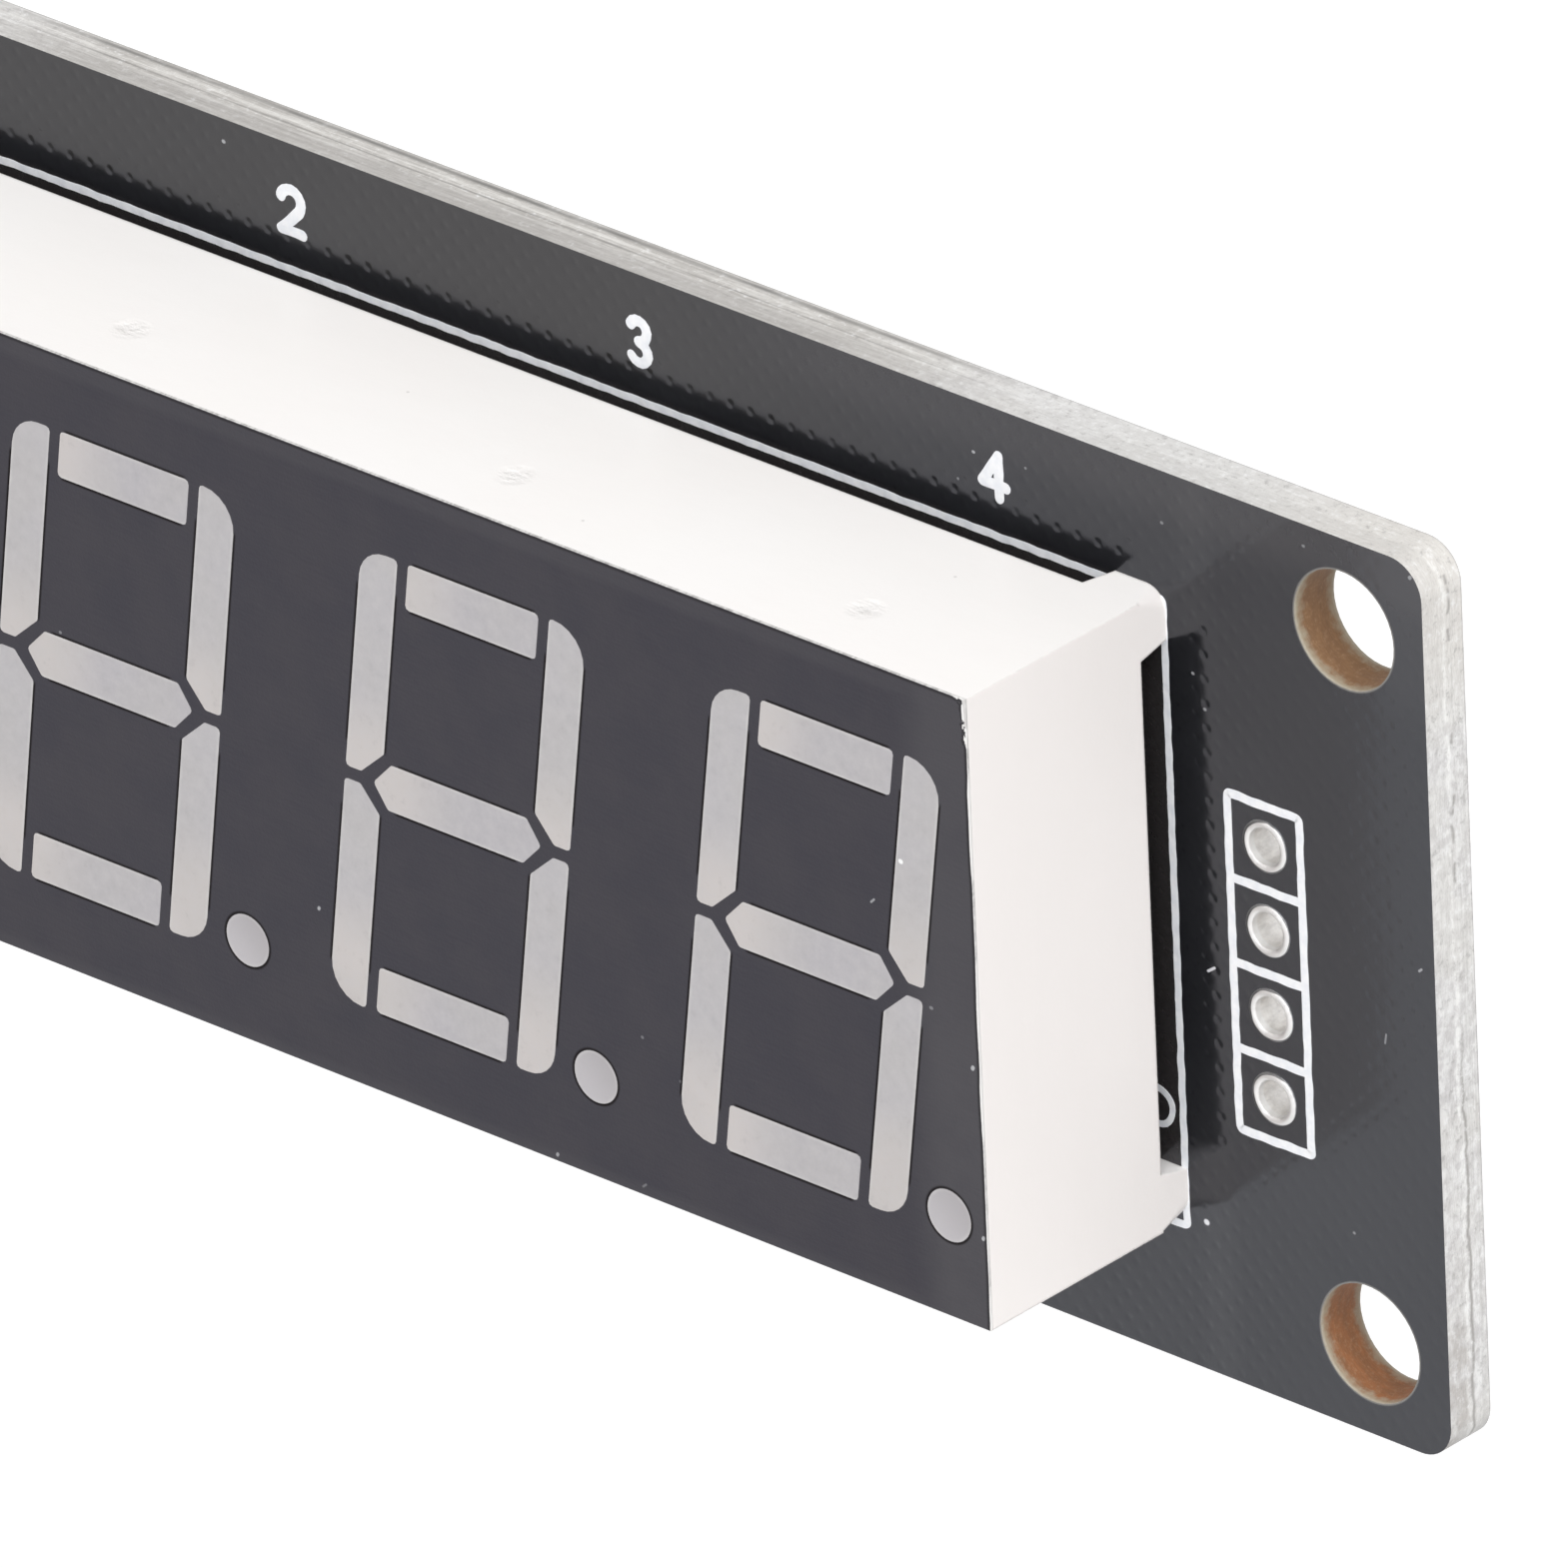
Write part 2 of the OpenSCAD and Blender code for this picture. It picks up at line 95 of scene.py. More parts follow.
def make_camera():
    """The photo's view, from a camera fitted to its edges."""
    camera = bpy.data.objects.new("camera", bpy.data.cameras.new("camera"))
    bpy.context.scene.collection.objects.link(camera)
    back = direction(CAMERA_AZIMUTH, CAMERA_ELEVATION)
    camera.location = CAMERA_AIM + back * CAMERA_DISTANCE
    camera.rotation_euler = facing(back, CAMERA_ROLL)
    camera.data.lens = CAMERA_LENS
    camera.data.sensor_width = 36
    camera.data.clip_start = 0.05
    camera.data.clip_end = 50
    bpy.context.scene.camera = camera


def add_softbox(name, azimuth, elevation, distance, size, power):
    """A square soft lamp that faces the object."""
    lamp = bpy.data.lights.new(name, "AREA")
    lamp.shape = "SQUARE"
    lamp.size = size
    lamp.energy = power
    softbox = bpy.data.objects.new(name, lamp)
    bpy.context.scene.collection.objects.link(softbox)
    back = direction(math.radians(azimuth), math.radians(elevation))
    softbox.location = back * distance
    softbox.rotation_euler = facing(back)
    softbox.visible_camera = False


class Shade:
    """A material and its node tree, with short ways to add nodes and join them."""

    def __init__(self, name):
        self.material = bpy.data.materials.new(name)
        self.material.use_nodes = True
        self.tree = self.material.node_tree
        self.surface = self.tree.nodes["Principled BSDF"]

    def feed(self, socket, value):
        """Joins a socket to another, or sets its value."""
        if isinstance(value, bpy.types.NodeSocket):
            self.tree.links.new(value, socket)
        elif socket.type == "RGBA":
            socket.default_value = (*value, 1)
        else:
            socket.default_value = value

    def add(self, kind, inputs=None, **settings):
        """Adds a node, with its settings, and feeds its inputs."""
        node = self.tree.nodes.new("ShaderNode" + kind)
        for name, value in settings.items():
            setattr(node, name, value)
        for name, value in (inputs or {}).items():
            self.feed(node.inputs[name], value)
        return node

    def set(self, **sockets):
        """Feeds the surface's sockets: base_color is "Base Color", and so on."""
        for name, value in sockets.items():
            words = [w if w == "IOR" else w.capitalize() for w in name.split("_")]
            self.feed(self.surface.inputs[" ".join(words)], value)

    def math(self, operation, a, b=0.0):
        return self.add("Math", {0: a, 1: b}, operation=operation).outputs[0]

    def chain(self, operation, values):
        """Joins values by an operation, from the first to the last."""
        result = values[0]
        for value in values[1:]:
            result = self.math(operation, result, value)
        return result

    def product(self, *factors):
        return self.chain("MULTIPLY", factors)

    def total(self, *terms):
        return self.chain("ADD", terms)

    def most(self, *values):
        return self.chain("MAXIMUM", values)

    def minus(self, a, b):
        return self.math("SUBTRACT", a, b)

    def absolute(self, value):
        return self.math("ABSOLUTE", value)

    def below(self, value, limit):
        """1 where the value is under the limit, else 0."""
        return self.math("LESS_THAN", value, limit)

    def length(self, x, y):
        """The distance of a place from the origin, from its two parts."""
        return self.add("VectorMath", {0: self.join(x, y)}, operation="LENGTH").outputs["Value"]

    def place(self, stretch=(1, 1, 1)):
        """The place on the object in millimetres, in the row frame, times stretch."""
        metres = self.add("TexCoord").outputs["Object"]
        scale = [s / MM for s in stretch]
        return self.add("VectorMath", {0: metres, 1: scale}, operation="MULTIPLY").outputs["Vector"]

    def split(self, vector):
        return self.add("SeparateXYZ", {0: vector}).outputs[:]

    def join(self, x, y, z=0.0):
        return self.add("CombineXYZ", {0: x, 1: y, 2: z}).outputs[0]

    def xyz(self):
        """The place on the object in millimetres, as three values."""
        return self.split(self.place())

    def facing_axis(self, axis):
        """How squarely the true surface faces along an axis, either way: 0 to 1."""
        normal = self.add("NewGeometry").outputs["True Normal"]
        return self.absolute(self.split(normal)[axis])

    def noise(self, scale, detail=3.0, roughness=0.5, stretch=(1, 1, 1), at=None):
        """Noise about 0.5, whose scale is in cycles for each millimetre."""
        at = at or self.place(stretch)
        inputs = {"Vector": at, "Scale": scale, "Detail": detail, "Roughness": roughness}
        return self.add("TexNoise", inputs).outputs[0]

    def specks(self, per_mm, radius, share):
        """1 on scattered round specks of this radius, in this share of the cells."""
        cells = self.add("TexVoronoi", {"Vector": self.place(), "Scale": per_mm}).outputs
        near = self.below(cells["Distance"], radius * per_mm)
        kept = self.below(self.split(cells["Color"])[0], share)
        return self.product(near, kept)

    def ramp(self, value, low, high, to_low=0.0, to_high=1.0):
        """A smooth step: low becomes to_low and high becomes to_high."""
        inputs = {"Value": value, "From Min": low, "From Max": high, "To Min": to_low, "To Max": to_high}
        return self.add("MapRange", inputs, interpolation_type="SMOOTHSTEP").outputs[0]

    def near(self, value, centre, width):
        """1 where the value is at the centre, falling smoothly to 0 at this width from it."""
        away = self.absolute(self.minus(value, centre))
        return self.ramp(away, 0, width, 1, 0)

    def repeated(self, value, pitch):
        """How far a value lies past the middle of its own stretch, of stretches one pitch long."""
        turns = self.math("FRACT", self.math("DIVIDE", value, pitch))
        return self.product(self.minus(turns, 0.5), pitch)

    def mix(self, share, a, b):
        """The colour a, with this share of the colour b over it."""
        return self.add("Mix", {0: share, 6: a, 7: b}, data_type="RGBA").outputs[2]

    def bump(self, height, normal=None):
        """A bump from a height in millimetres, over the true normal or another."""
        inputs = {"Height": height, "Distance": MM}
        if normal:
            inputs["Normal"] = normal
        return self.add("Bump", inputs).outputs[0]

    def soft_edges(self, radius):
        """The normal with its edges rounded to a radius in millimetres."""
        return self.add("Bevel", {"Radius": radius * MM}, samples=4).outputs[0]

    def inset(self, low, high, radius):
        """How far inside a rounded rectangle in X and Z a place lies, in millimetres."""
        x, _, z = self.xyz()
        past = []
        for value, a, b in ((x, low[0], high[0]), (z, low[1], high[1])):
            away = self.absolute(self.minus(value, (a + b) / 2))
            past.append(self.minus(away, (b - a) / 2 - radius))
        corner = self.length(*[self.most(p, 0) for p in past])
        side = self.math("MINIMUM", self.most(*past), 0)
        return self.minus(radius, self.total(corner, side))

    def turned(self, angle, x=0.0, z=0.0):
        """Distances from x and z, along and across a direction that leans by an angle in degrees."""
        place_x, _, place_z = self.xyz()
        dx, dz = self.minus(place_x, x), self.minus(place_z, z)
        c, s = math.cos(math.radians(angle)), math.sin(math.radians(angle))
        along = self.total(self.product(dx, c), self.product(dz, s))
        return along, self.total(self.product(dx, -s), self.product(dz, c))

    def dash(self, x, z, length, width, angle):
        """1 on a short straight mark centred at x and z."""
        along, across = self.turned(angle, x, z)
        past = self.most(self.minus(self.absolute(along), length / 2), 0)
        return self.ramp(self.length(past, across), 0.3 * width, 0.6 * width, 1, 0)

    def marks(self, table):
        """The strongest of several marks, each x, z, length, width, angle and strength."""
        return self.most(*[self.product(self.dash(*mark), strength) for *mark, strength in table])


def make_floor():
    """A pale floor that looks white and keeps the object's shadow."""
    shade = Shade("floor_paper")
    path = shade.add("LightPath").outputs
    seen = shade.most(path["Is Camera Ray"], path["Is Glossy Ray"], path["Is Transmission Ray"])
    shade.set(base_color=[FLOOR_COLOUR] * 3, roughness=0.9, specular_IOR_level=0.0)
    shade.set(emission_color=(1, 1, 1), emission_strength=shade.product(seen, FLOOR_GLOW))
    mesh = bpy.data.meshes.new("floor")
    half = FLOOR_SIZE / 2
    corners = [(-half, -half, 0), (half, -half, 0), (half, half, 0), (-half, half, 0)]
    mesh.from_pydata(corners, [], [(0, 1, 2, 3)])
    mesh.materials.append(shade.material)
    floor = bpy.data.objects.new("floor", mesh)
    floor.location.z = FLOOR_Z
    bpy.context.scene.collection.objects.link(floor)


def make_world():
    """A sky that looks white, and lights the object less than it looks."""
    world = bpy.data.worlds.new("studio")
    bpy.context.scene.world = world
    world.use_nodes = True
    nodes, links = world.node_tree.nodes, world.node_tree.links
    path = nodes.new("ShaderNodeLightPath").outputs
    seen = nodes.new("ShaderNodeMath")
    seen.operation = "MAXIMUM"
    links.new(path["Is Camera Ray"], seen.inputs[0])
    links.new(path["Is Glossy Ray"], seen.inputs[1])
    strength = nodes.new("ShaderNodeMapRange")
    strength.inputs["To Min"].default_value = SKY_LIGHT
    strength.inputs["To Max"].default_value = 1.0
    links.new(seen.outputs[0], strength.inputs["Value"])
    nodes["Background"].inputs["Color"].default_value = (1, 1, 1, 1)
    links.new(strength.outputs[0], nodes["Background"].inputs["Strength"])


def make_room():
    """The sky, the floor and two soft lamps."""
    bpy.context.scene.view_settings.view_transform = "Standard"
    make_world()
    make_floor()
    add_softbox("key_lamp", **KEY_LAMP)
    add_softbox("fill_lamp", **FILL_LAMP)


# ---- Board ----

# The glass cloth: its pitch from one thread to the next, and one place where threads cross
WEAVE_PITCH_X = 0.3656
WEAVE_PITCH_Z = 0.3665
WEAVE_X = 26.83
WEAVE_Z = 1.07
PIT_DEPTH = 0.0075
THREAD_DEPTH = 0.0015
# The mask's shoulders beside the display and above it
SHOULDER_BESIDE = 0.074
SHOULDER_ABOVE = 0.036
# The mask: all over; painted reflection at the top left and the top right; painted light under the display,
# where it lies in shade; and round a mounting hole, pale laminate with a painted highlight
MASK = (0.0091, 0.0094, 0.0112)
MASK_LEFT_REFLECTION = (0.0185, 0.017, 0.015)
MASK_TOP_REFLECTION = (0.031, 0.029, 0.030)
UNDER_DISPLAY_LIGHT = (0.026, 0.0235, 0.0235)
HOLE_RIM_HIGHLIGHT = (0.42, 0.40, 0.36)
MASK_IOR = 1.61
DUST = (0.80, 0.81, 0.84)
# Dust on the mask: x, z, length, width, angle and strength of each mark
MASK_DUST = [
    (26.29, -1.13, 0.30, 0.085, 35, 0.8), (25.77, -8.97, 0.02, 0.19, 0, 0.9),
    (18.44, 11.93, 0.03, 0.10, 0, 0.4), (20.30, 12.03, 0.01, 0.09, 0, 0.2),
    (25.13, 11.93, 0.03, 0.10, 0, 0.2), (30.17, 12.84, 0.03, 0.10, 0, 0.2),
    (17.84, 10.94, 0.01, 0.09, 0, 0.2), (-8.67, 12.80, 0.02, 0.13, 0, 0.4),
    (33.92, 13.09, 0.04, 0.12, 45, 0.3), (31.08, -7.53, 0.01, 0.10, 0, 0.25),
    (33.79, 1.30, 0.12, 0.08, 40, 0.35), (32.46, -1.20, 0.28, 0.07, 80, 0.25),
    (26.04, 7.71, 0.02, 0.10, 0, 0.4), (26.42, 6.75, 0.02, 0.11, 0, 0.3),
]


def weave_height(shade):
    """The glass cloth that shows through the solder mask: round pits between the threads."""
    x, _, z = shade.xyz()
    across = shade.product(shade.minus(x, WEAVE_X), math.pi / WEAVE_PITCH_X)
    along = shade.product(shade.minus(z, WEAVE_Z), math.pi / WEAVE_PITCH_Z)
    crossing = shade.product(shade.math("COSINE", across), shade.math("COSINE", along))
    between = shade.most(shade.product(crossing, -1), 0.0)
    pit = shade.product(shade.math("POWER", between, 2), -PIT_DEPTH)
    uneven = shade.ramp(shade.noise(0.8, 2), 0.3, 0.7, 0.6, 1.25)
    open_board = shade.ramp(x, 27, 29.5, 1, 0.45)
    return shade.product(shade.total(pit, shade.product(crossing, THREAD_DEPTH)), uneven, open_board)


def on_front(shade):
    """1 on the front half of the board's thickness, else 0."""
    return shade.below(shade.xyz()[1], (BOARD_LOW.y + BOARD_HIGH.y) / 2)


def mask_swell(shade):
    """The front mask's shoulders: it rises to the right of the display, and falls above it."""
    x, _, z = shade.xyz()
    beside = shade.ramp(x, 25.4, 27.0, 0, SHOULDER_BESIDE)
    above = shade.ramp(z, 9.9, 11.2, SHOULDER_ABOVE, 0)
    return shade.product(shade.total(beside, above), on_front(shade))


def mask_height(shade):
    """The mask's surface: the cloth under it, its shoulders, slow waves and a fine peel."""
    slow = shade.product(shade.noise(0.5, 2), 0.02)
    peel = shade.product(shade.noise(4, 3), 0.003)
    return shade.total(weave_height(shade), mask_swell(shade), slow, peel)


def mask_colour(shade):
    """Near-black solder mask. The front has painted reflection along its top, painted light under the display
    where it lies in shade, and marks of dust.
    """
    x, _, z = shade.xyz()
    front = on_front(shade)
    cloud = shade.noise(0.4, 3)
    colour = shade.mix(shade.ramp(cloud, 0.35, 0.65), MASK, [0.85 * c for c in MASK])
    # Painted reflection: the front is paler at the top left, along the top and at the top right corner
    left = shade.product(shade.ramp(x, 5, 20, 1, 0), shade.ramp(z, 10.3, 10.9))
    colour = shade.mix(shade.product(left, front), colour, MASK_LEFT_REFLECTION)
    top = shade.product(shade.ramp(z, 11.4, 12.9), shade.ramp(x, 8, 14, 0, 0.7))
    corner = shade.product(shade.ramp(z, 8, 11), shade.ramp(x, 31.5, 33.5, 0, 0.5))
    colour = shade.mix(shade.product(shade.total(top, corner), front), colour, MASK_TOP_REFLECTION)
    # Painted light: the mask under the display, which lies in its shade, is paler
    under = shade.inset((BLOCK_LOW.x, BLOCK_LOW.z), (BLOCK_HIGH.x, BLOCK_HIGH.z), 0.3)
    colour = shade.mix(shade.product(shade.ramp(under, 0, 0.3), front), colour, UNDER_DISPLAY_LIGHT)
    return shade.mix(shade.product(shade.marks(MASK_DUST), front), colour, DUST)


def hole_distance(shade):
    """Distance from the axis of the nearest mounting hole, in millimetres."""
    x, _, z = shade.xyz()
    dx = shade.minus(shade.absolute(x), MOUNT_HOLE_X)
    return shade.length(dx, shade.minus(shade.absolute(z), MOUNT_HOLE_Z))


# The sawn edge: its mottle, its tint in clouds, at its smooth ends, at its top right corner and low down
LAMINATE_DULL, LAMINATE_PALE = (0.585, 0.57, 0.565), (0.79, 0.785, 0.775)
LAMINATE_CLOUD = (0.70, 0.685, 0.65)
LAMINATE_SMOOTH = (0.645, 0.637, 0.62)
LAMINATE_CORNER = (0.665, 0.635, 0.59)
LAMINATE_WORN = (0.44, 0.41, 0.385)
# The seam that wanders up the upright edges, with what lies before and behind it
SEAM_Y = -0.62
SEAM_DARK, SEAM_PALE, BEHIND_SEAM = (0.33, 0.315, 0.30), (0.90, 0.895, 0.87), (0.46, 0.45, 0.43)
# The streaks, flecks, layers and grooves of the level edges, the streaks also darkening their middle as
# painted shade, and the two dark rims
SAWN_DARK, SAWN_PALE = (0.36, 0.34, 0.315), (0.64, 0.62, 0.59)
FLECK_DARK, FLECK_PALE = (0.33, 0.32, 0.31), (0.90, 0.90, 0.90)
LAYER_PALE, GROOVE_DARK = (0.80, 0.785, 0.75), (0.17, 0.165, 0.155)
FRONT_RIM, BACK_RIM = (0.36, 0.345, 0.33), (0.16, 0.16, 0.16)


def laminate_tone(shade, mottle, smooth):
    """The mottled resin and glass of the sawn edge."""
    x, y, z = shade.xyz()
    colour = shade.mix(shade.ramp(mottle, 0.36, 0.64), LAMINATE_DULL, LAMINATE_PALE)
    cloud = shade.noise(0.35, 2)
    colour = shade.mix(shade.ramp(cloud, 0.4, 0.65, 0, 0.5), colour, LAMINATE_CLOUD)
    colour = shade.mix(shade.product(smooth, 0.7), colour, LAMINATE_SMOOTH)
    corner = shade.product(shade.ramp(x, 26, 33), shade.ramp(z, 8, 12))
    colour = shade.mix(shade.product(corner, 0.6), colour, LAMINATE_CORNER)
    front = shade.ramp(y, -0.95, -0.6, 1, 0)
    patches = shade.ramp(shade.noise(1.2, 4, 0.65), 0.38, 0.6, 0.1, 0.75)
    worn = shade.product(shade.ramp(z, -11, -5, 1, 0), front, patches)
    return shade.mix(worn, colour, LAMINATE_WORN)


def laminate_seam(shade, colour, mottle):
    """The upright edges' wavy seam: dark ticks low down that join higher up, and a pale band before them."""
    _, y, z = shade.xyz()
    upright = shade.facing_axis(0)
    flat = (1, 0, 1)
    wave = shade.total(shade.noise(1.5, 3, stretch=flat), shade.noise(0.3, 2, stretch=flat))
    wavy_y = shade.total(y, shade.product(shade.minus(wave, 1), 0.32))
    ticks = shade.ramp(shade.noise(1.7, 2, stretch=flat), 0.53, 0.63, 0, 0.85)
    joined = shade.ramp(z, -3, 1, 0.9, 0)
    dark = shade.product(shade.near(wavy_y, SEAM_Y, 0.1), shade.most(ticks, joined), upright)
    band = shade.ramp(mottle, 0.4, 0.6, 0.1, 0.6)
    pale = shade.product(shade.near(wavy_y, SEAM_Y - 0.18, 0.14), band, upright)
    colour = shade.mix(pale, colour, SEAM_PALE)
    colour = shade.mix(dark, colour, SEAM_DARK)
    lines = shade.ramp(shade.noise(1, 2, stretch=(0.15, 9, 0.15)), 0.45, 0.6, 0, 0.3)
    behind = shade.product(shade.ramp(wavy_y, SEAM_Y + 0.02, SEAM_Y + 0.12), lines, upright)
    return shade.mix(behind, colour, BEHIND_SEAM)


def laminate_layers(shade, colour, inner, smooth):
    """Saw streaks and the cloth's layers along the middle of the level edges, whose streaks also darken that
    middle as painted shade, and flecks on all of them.
    """
    y = shade.xyz()[1]
    streaks = shade.noise(1, 6, 0.8, stretch=(0.4, 10, 0.4))
    sawn = shade.mix(shade.ramp(streaks, 0.33, 0.67), SAWN_DARK, SAWN_PALE)
    # Painted shade: the darker streaks cover the middle of the level edges, so it is darker than their ends
    colour = shade.mix(shade.product(inner, 0.9), colour, sawn)
    fine = shade.noise(3.4, 5, 0.8)
    colour = shade.mix(shade.ramp(fine, 0.53, 0.68, 0, 0.6), colour, FLECK_PALE)
    colour = shade.mix(shade.ramp(fine, 0.47, 0.32, 0, 0.6), colour, FLECK_DARK)
    rim = shade.total(shade.product(inner, 0.42), shade.product(smooth, 0.1), 0.08)
    colour = shade.mix(shade.product(shade.ramp(y, -0.95, -0.8, 1, 0), rim), colour, FRONT_RIM)
    layers = shade.total(shade.near(y, -0.5, 0.17), shade.product(shade.near(y, -0.95, 0.1), 0.5))
    layers = shade.product(layers, shade.ramp(streaks, 0.4, 0.6, 0.2, 0.6), inner)
    colour = shade.mix(layers, colour, LAYER_PALE)
    along = shade.ramp(shade.noise(0.25, 3, stretch=(1, 0, 1)), 0.4, 0.6, 0.55, 0.95)
    grooves = shade.total(shade.near(y, -0.18, 0.15), shade.product(shade.near(y, -0.72, 0.06), 0.7))
    colour = shade.mix(shade.product(grooves, along, inner), colour, GROOVE_DARK)
    return shade.mix(shade.ramp(y, -0.07, -0.01, 0, 0.35), colour, BACK_RIM)


def laminate_edge(shade):
    """Sawn glass laminate: mottled, with a seam on the upright edges and layers along the level ones."""
    level = shade.facing_axis(2)
    from_middle = shade.absolute(shade.xyz()[0])
    inner = shade.product(level, shade.ramp(from_middle, 12, 21, 1, 0))
    smooth = shade.product(level, shade.ramp(from_middle, 15, 24))
    mottle = shade.noise(3.2, 5, 0.68, stretch=(0.7, 1, 0.7))
    colour = laminate_seam(shade, laminate_tone(shade, mottle, smooth), mottle)
    return laminate_layers(shade, colour, inner, smooth)


# Inside a mounting hole: the amber glass low and high up, its dark grain and pale specks, and the painted
# light of its pale bands and bright rims near both faces
AMBER_LOW, AMBER_HIGH = (0.285, 0.112, 0.036), (0.225, 0.118, 0.048)
AMBER_GRAIN, AMBER_SPECK = (0.15, 0.072, 0.026), (0.42, 0.28, 0.17)
AMBER_LIT_BAND, RIM_HIGHLIGHT = (0.36, 0.31, 0.225), (0.48, 0.45, 0.375)


def hole_wall(shade):
    """The amber glass inside a mounting hole, with painted light in pale bands and bright rims near both
    faces.
    """
    _, y, z = shade.xyz()
    grain = shade.noise(2.2, 4, 0.65, stretch=(0.7, 1.8, 0.7))
    speckle = shade.noise(9, 3, 0.7)
    amber = shade.mix(shade.ramp(z, -4, 4), AMBER_LOW, AMBER_HIGH)
    amber = shade.mix(shade.ramp(grain, 0.35, 0.65, 0.5, 0), amber, AMBER_GRAIN)
    amber = shade.mix(shade.ramp(speckle, 0.5, 0.7, 0, 0.3), amber, AMBER_SPECK)
    # Painted light: pale bands near both faces, where light scatters into the laminate, and a painted
    # highlight on each rim
    ragged = shade.product(shade.minus(shade.noise(3.5, 4, 0.65), 0.5), 0.7)
    front = shade.ramp(shade.total(y, ragged), -1.55, -1.15, 0.9, 0)
    back = shade.ramp(shade.minus(y, ragged), -0.4, -0.05, 0, 0.75)
    lit_bands = shade.mix(shade.most(front, back), amber, AMBER_LIT_BAND)
    lip = shade.most(shade.ramp(y, -1.57, -1.47, 0.75, 0), shade.ramp(y, -0.12, -0.03, 0, 0.6))
    lip = shade.product(lip, shade.ramp(speckle, 0.35, 0.6, 0.55, 1))
    return shade.mix(lip, lit_bands, RIM_HIGHLIGHT)


def board_material():
    """Solder mask on the two faces, and bare glass laminate on the edges and in the mounting holes."""
    shade = Shade("board")
    on_face = shade.math("GREATER_THAN", shade.facing_axis(1), 0.5)
    from_hole = hole_distance(shade)
    in_hole = shade.below(from_hole, MOUNT_HOLE_R + 0.3)
    bare = shade.mix(in_hole, laminate_edge(shade), hole_wall(shade))
    # A pale ring round each mounting hole: bare laminate at its edge, with a painted highlight
    rim = shade.ramp(from_hole, MOUNT_HOLE_R + 0.01, MOUNT_HOLE_R + 0.07, 0.45, 0)
    masked = shade.mix(rim, mask_colour(shade), HOLE_RIM_HIGHLIGHT)
    bare_normal = shade.bump(shade.product(shade.noise(4, 4, 0.6, stretch=(0.5, 2, 0.5)), 0.03))
    masked_normal = shade.bump(mask_height(shade))
    blended = shade.add("Mix", {0: on_face, 4: bare_normal, 5: masked_normal}, data_type="VECTOR")
    shade.set(
        base_color=shade.mix(on_face, bare, masked),
        roughness=shade.ramp(on_face, 0, 1, 0.7, 0.16),
        IOR=MASK_IOR,
        specular_tint=(0.88, 0.90, 1.0),
        normal=blended.outputs[1],
    )
    return shade.material


# ---- White print on the board ----

PRINT_T = 0.012
# The ink's edges wander by this depth, in steps of this length, this many times for each millimetre
WAVE_DEPTH = 0.03
WAVE_STEP = 0.16
WAVES_PER_MM = 2.2
OTHER_WAVES = Vector((0, 0, 7))
# Each crossing stroke of a drawing lies this much higher than the one before
PRINT_STEP = 0.001
PRINT_DULL, PRINT_WHITE = (0.82, 0.84, 0.88), (0.90, 0.91, 0.93)
# The line round the display: its left, bottom, right and top
DISPLAY_LINE = (-25.07, -9.31, 25.07, 9.64)
DISPLAY_LINE_W, DISPLAY_LINE_R = 0.235, 0.15
# The box round the header holes, and the lines between the holes
HEADER_BOX = (27.10, -5.66, 29.65, 4.49)
HEADER_BOX_W, HEADER_BOX_R = 0.27, 0.1
HEADER_LINES_Z = (-3.18, -0.6, 1.95)
RING_X, RING_Z, RING_R, RING_W = 24.15, -5.93, 0.55, 0.2
# The position numbers: the height of their pen strokes' middle lines, and the lowest of them
NUMBER_H = 1.27
NUMBER_Z = 10.81
NUMBER_W = 0.33


def arc(x, z, radius, start, end, steps=10):
    """Points on an arc, from one angle to another in degrees."""
    turns = [math.radians(start + (end - start) * i / steps) for i in range(steps + 1)]
    return [(x + radius * math.cos(t), z + radius * math.sin(t)) for t in turns]


def circle(x, z, radius):
    """Points all the way round, for a closed line."""
    return arc(x, z, radius, 0, 345, 23)


def rounded_box(left, bottom, right, top, radius):
    """Points round a box with round corners."""
    return [
        *arc(right - radius, bottom + radius, radius, -90, 0, 5),
        *arc(right - radius, top - radius, radius, 0, 90, 5),
        *arc(left + radius, top - radius, radius, 90, 180, 5),
        *arc(left + radius, bottom + radius, radius, 180, 270, 5),
    ]


def round_end(tip, side, radius):
    """Points on the half circle round a line's tip, between a point at its side and the other side."""
    start = math.degrees(math.atan2(side[1] - tip[1], side[0] - tip[0]))
    return arc(*tip, radius, start, start + 180, 6)[1:-1]


def moved_aside(points, distance, closed):
    """The line moved to its left by a distance, with mitred bends."""
    path = [Vector(p) for p in points]
    count = len(path)
    aside = []
    for i in range(count if closed else count - 1):
        along = (path[(i + 1) % count] - path[i]).normalized()
        aside.append(Vector((-along.y, along.x)))
    moved = []
    for i in range(count):
        before = aside[i - 1] if closed or i else aside[0]
        after = aside[i] if i < len(aside) else aside[-1]
        moved.append(path[i] + distance * (before + after) / (1 + before.dot(after)))
    return moved


def cut_short(points):
    """A closed line with its straight parts cut into short pieces."""
    result = []
    for i, start in enumerate(points):
        start, end = Vector(start), Vector(points[(i + 1) % len(points)])
        pieces = max(1, round((end - start).length / WAVE_STEP))
        result += [start.lerp(end, k / pieces) for k in range(pieces)]
    return result


def bled(points):
    """The points moved a little, as screened ink bleeds at its edges."""
    moved = []
    for point in points:
        spot = Vector((point[0], point[1], 0)) * WAVES_PER_MM
        aside = Vector((noise.noise(spot), noise.noise(spot + OTHER_WAVES)))
        moved.append(Vector(point) + WAVE_DEPTH * aside)
    return moved


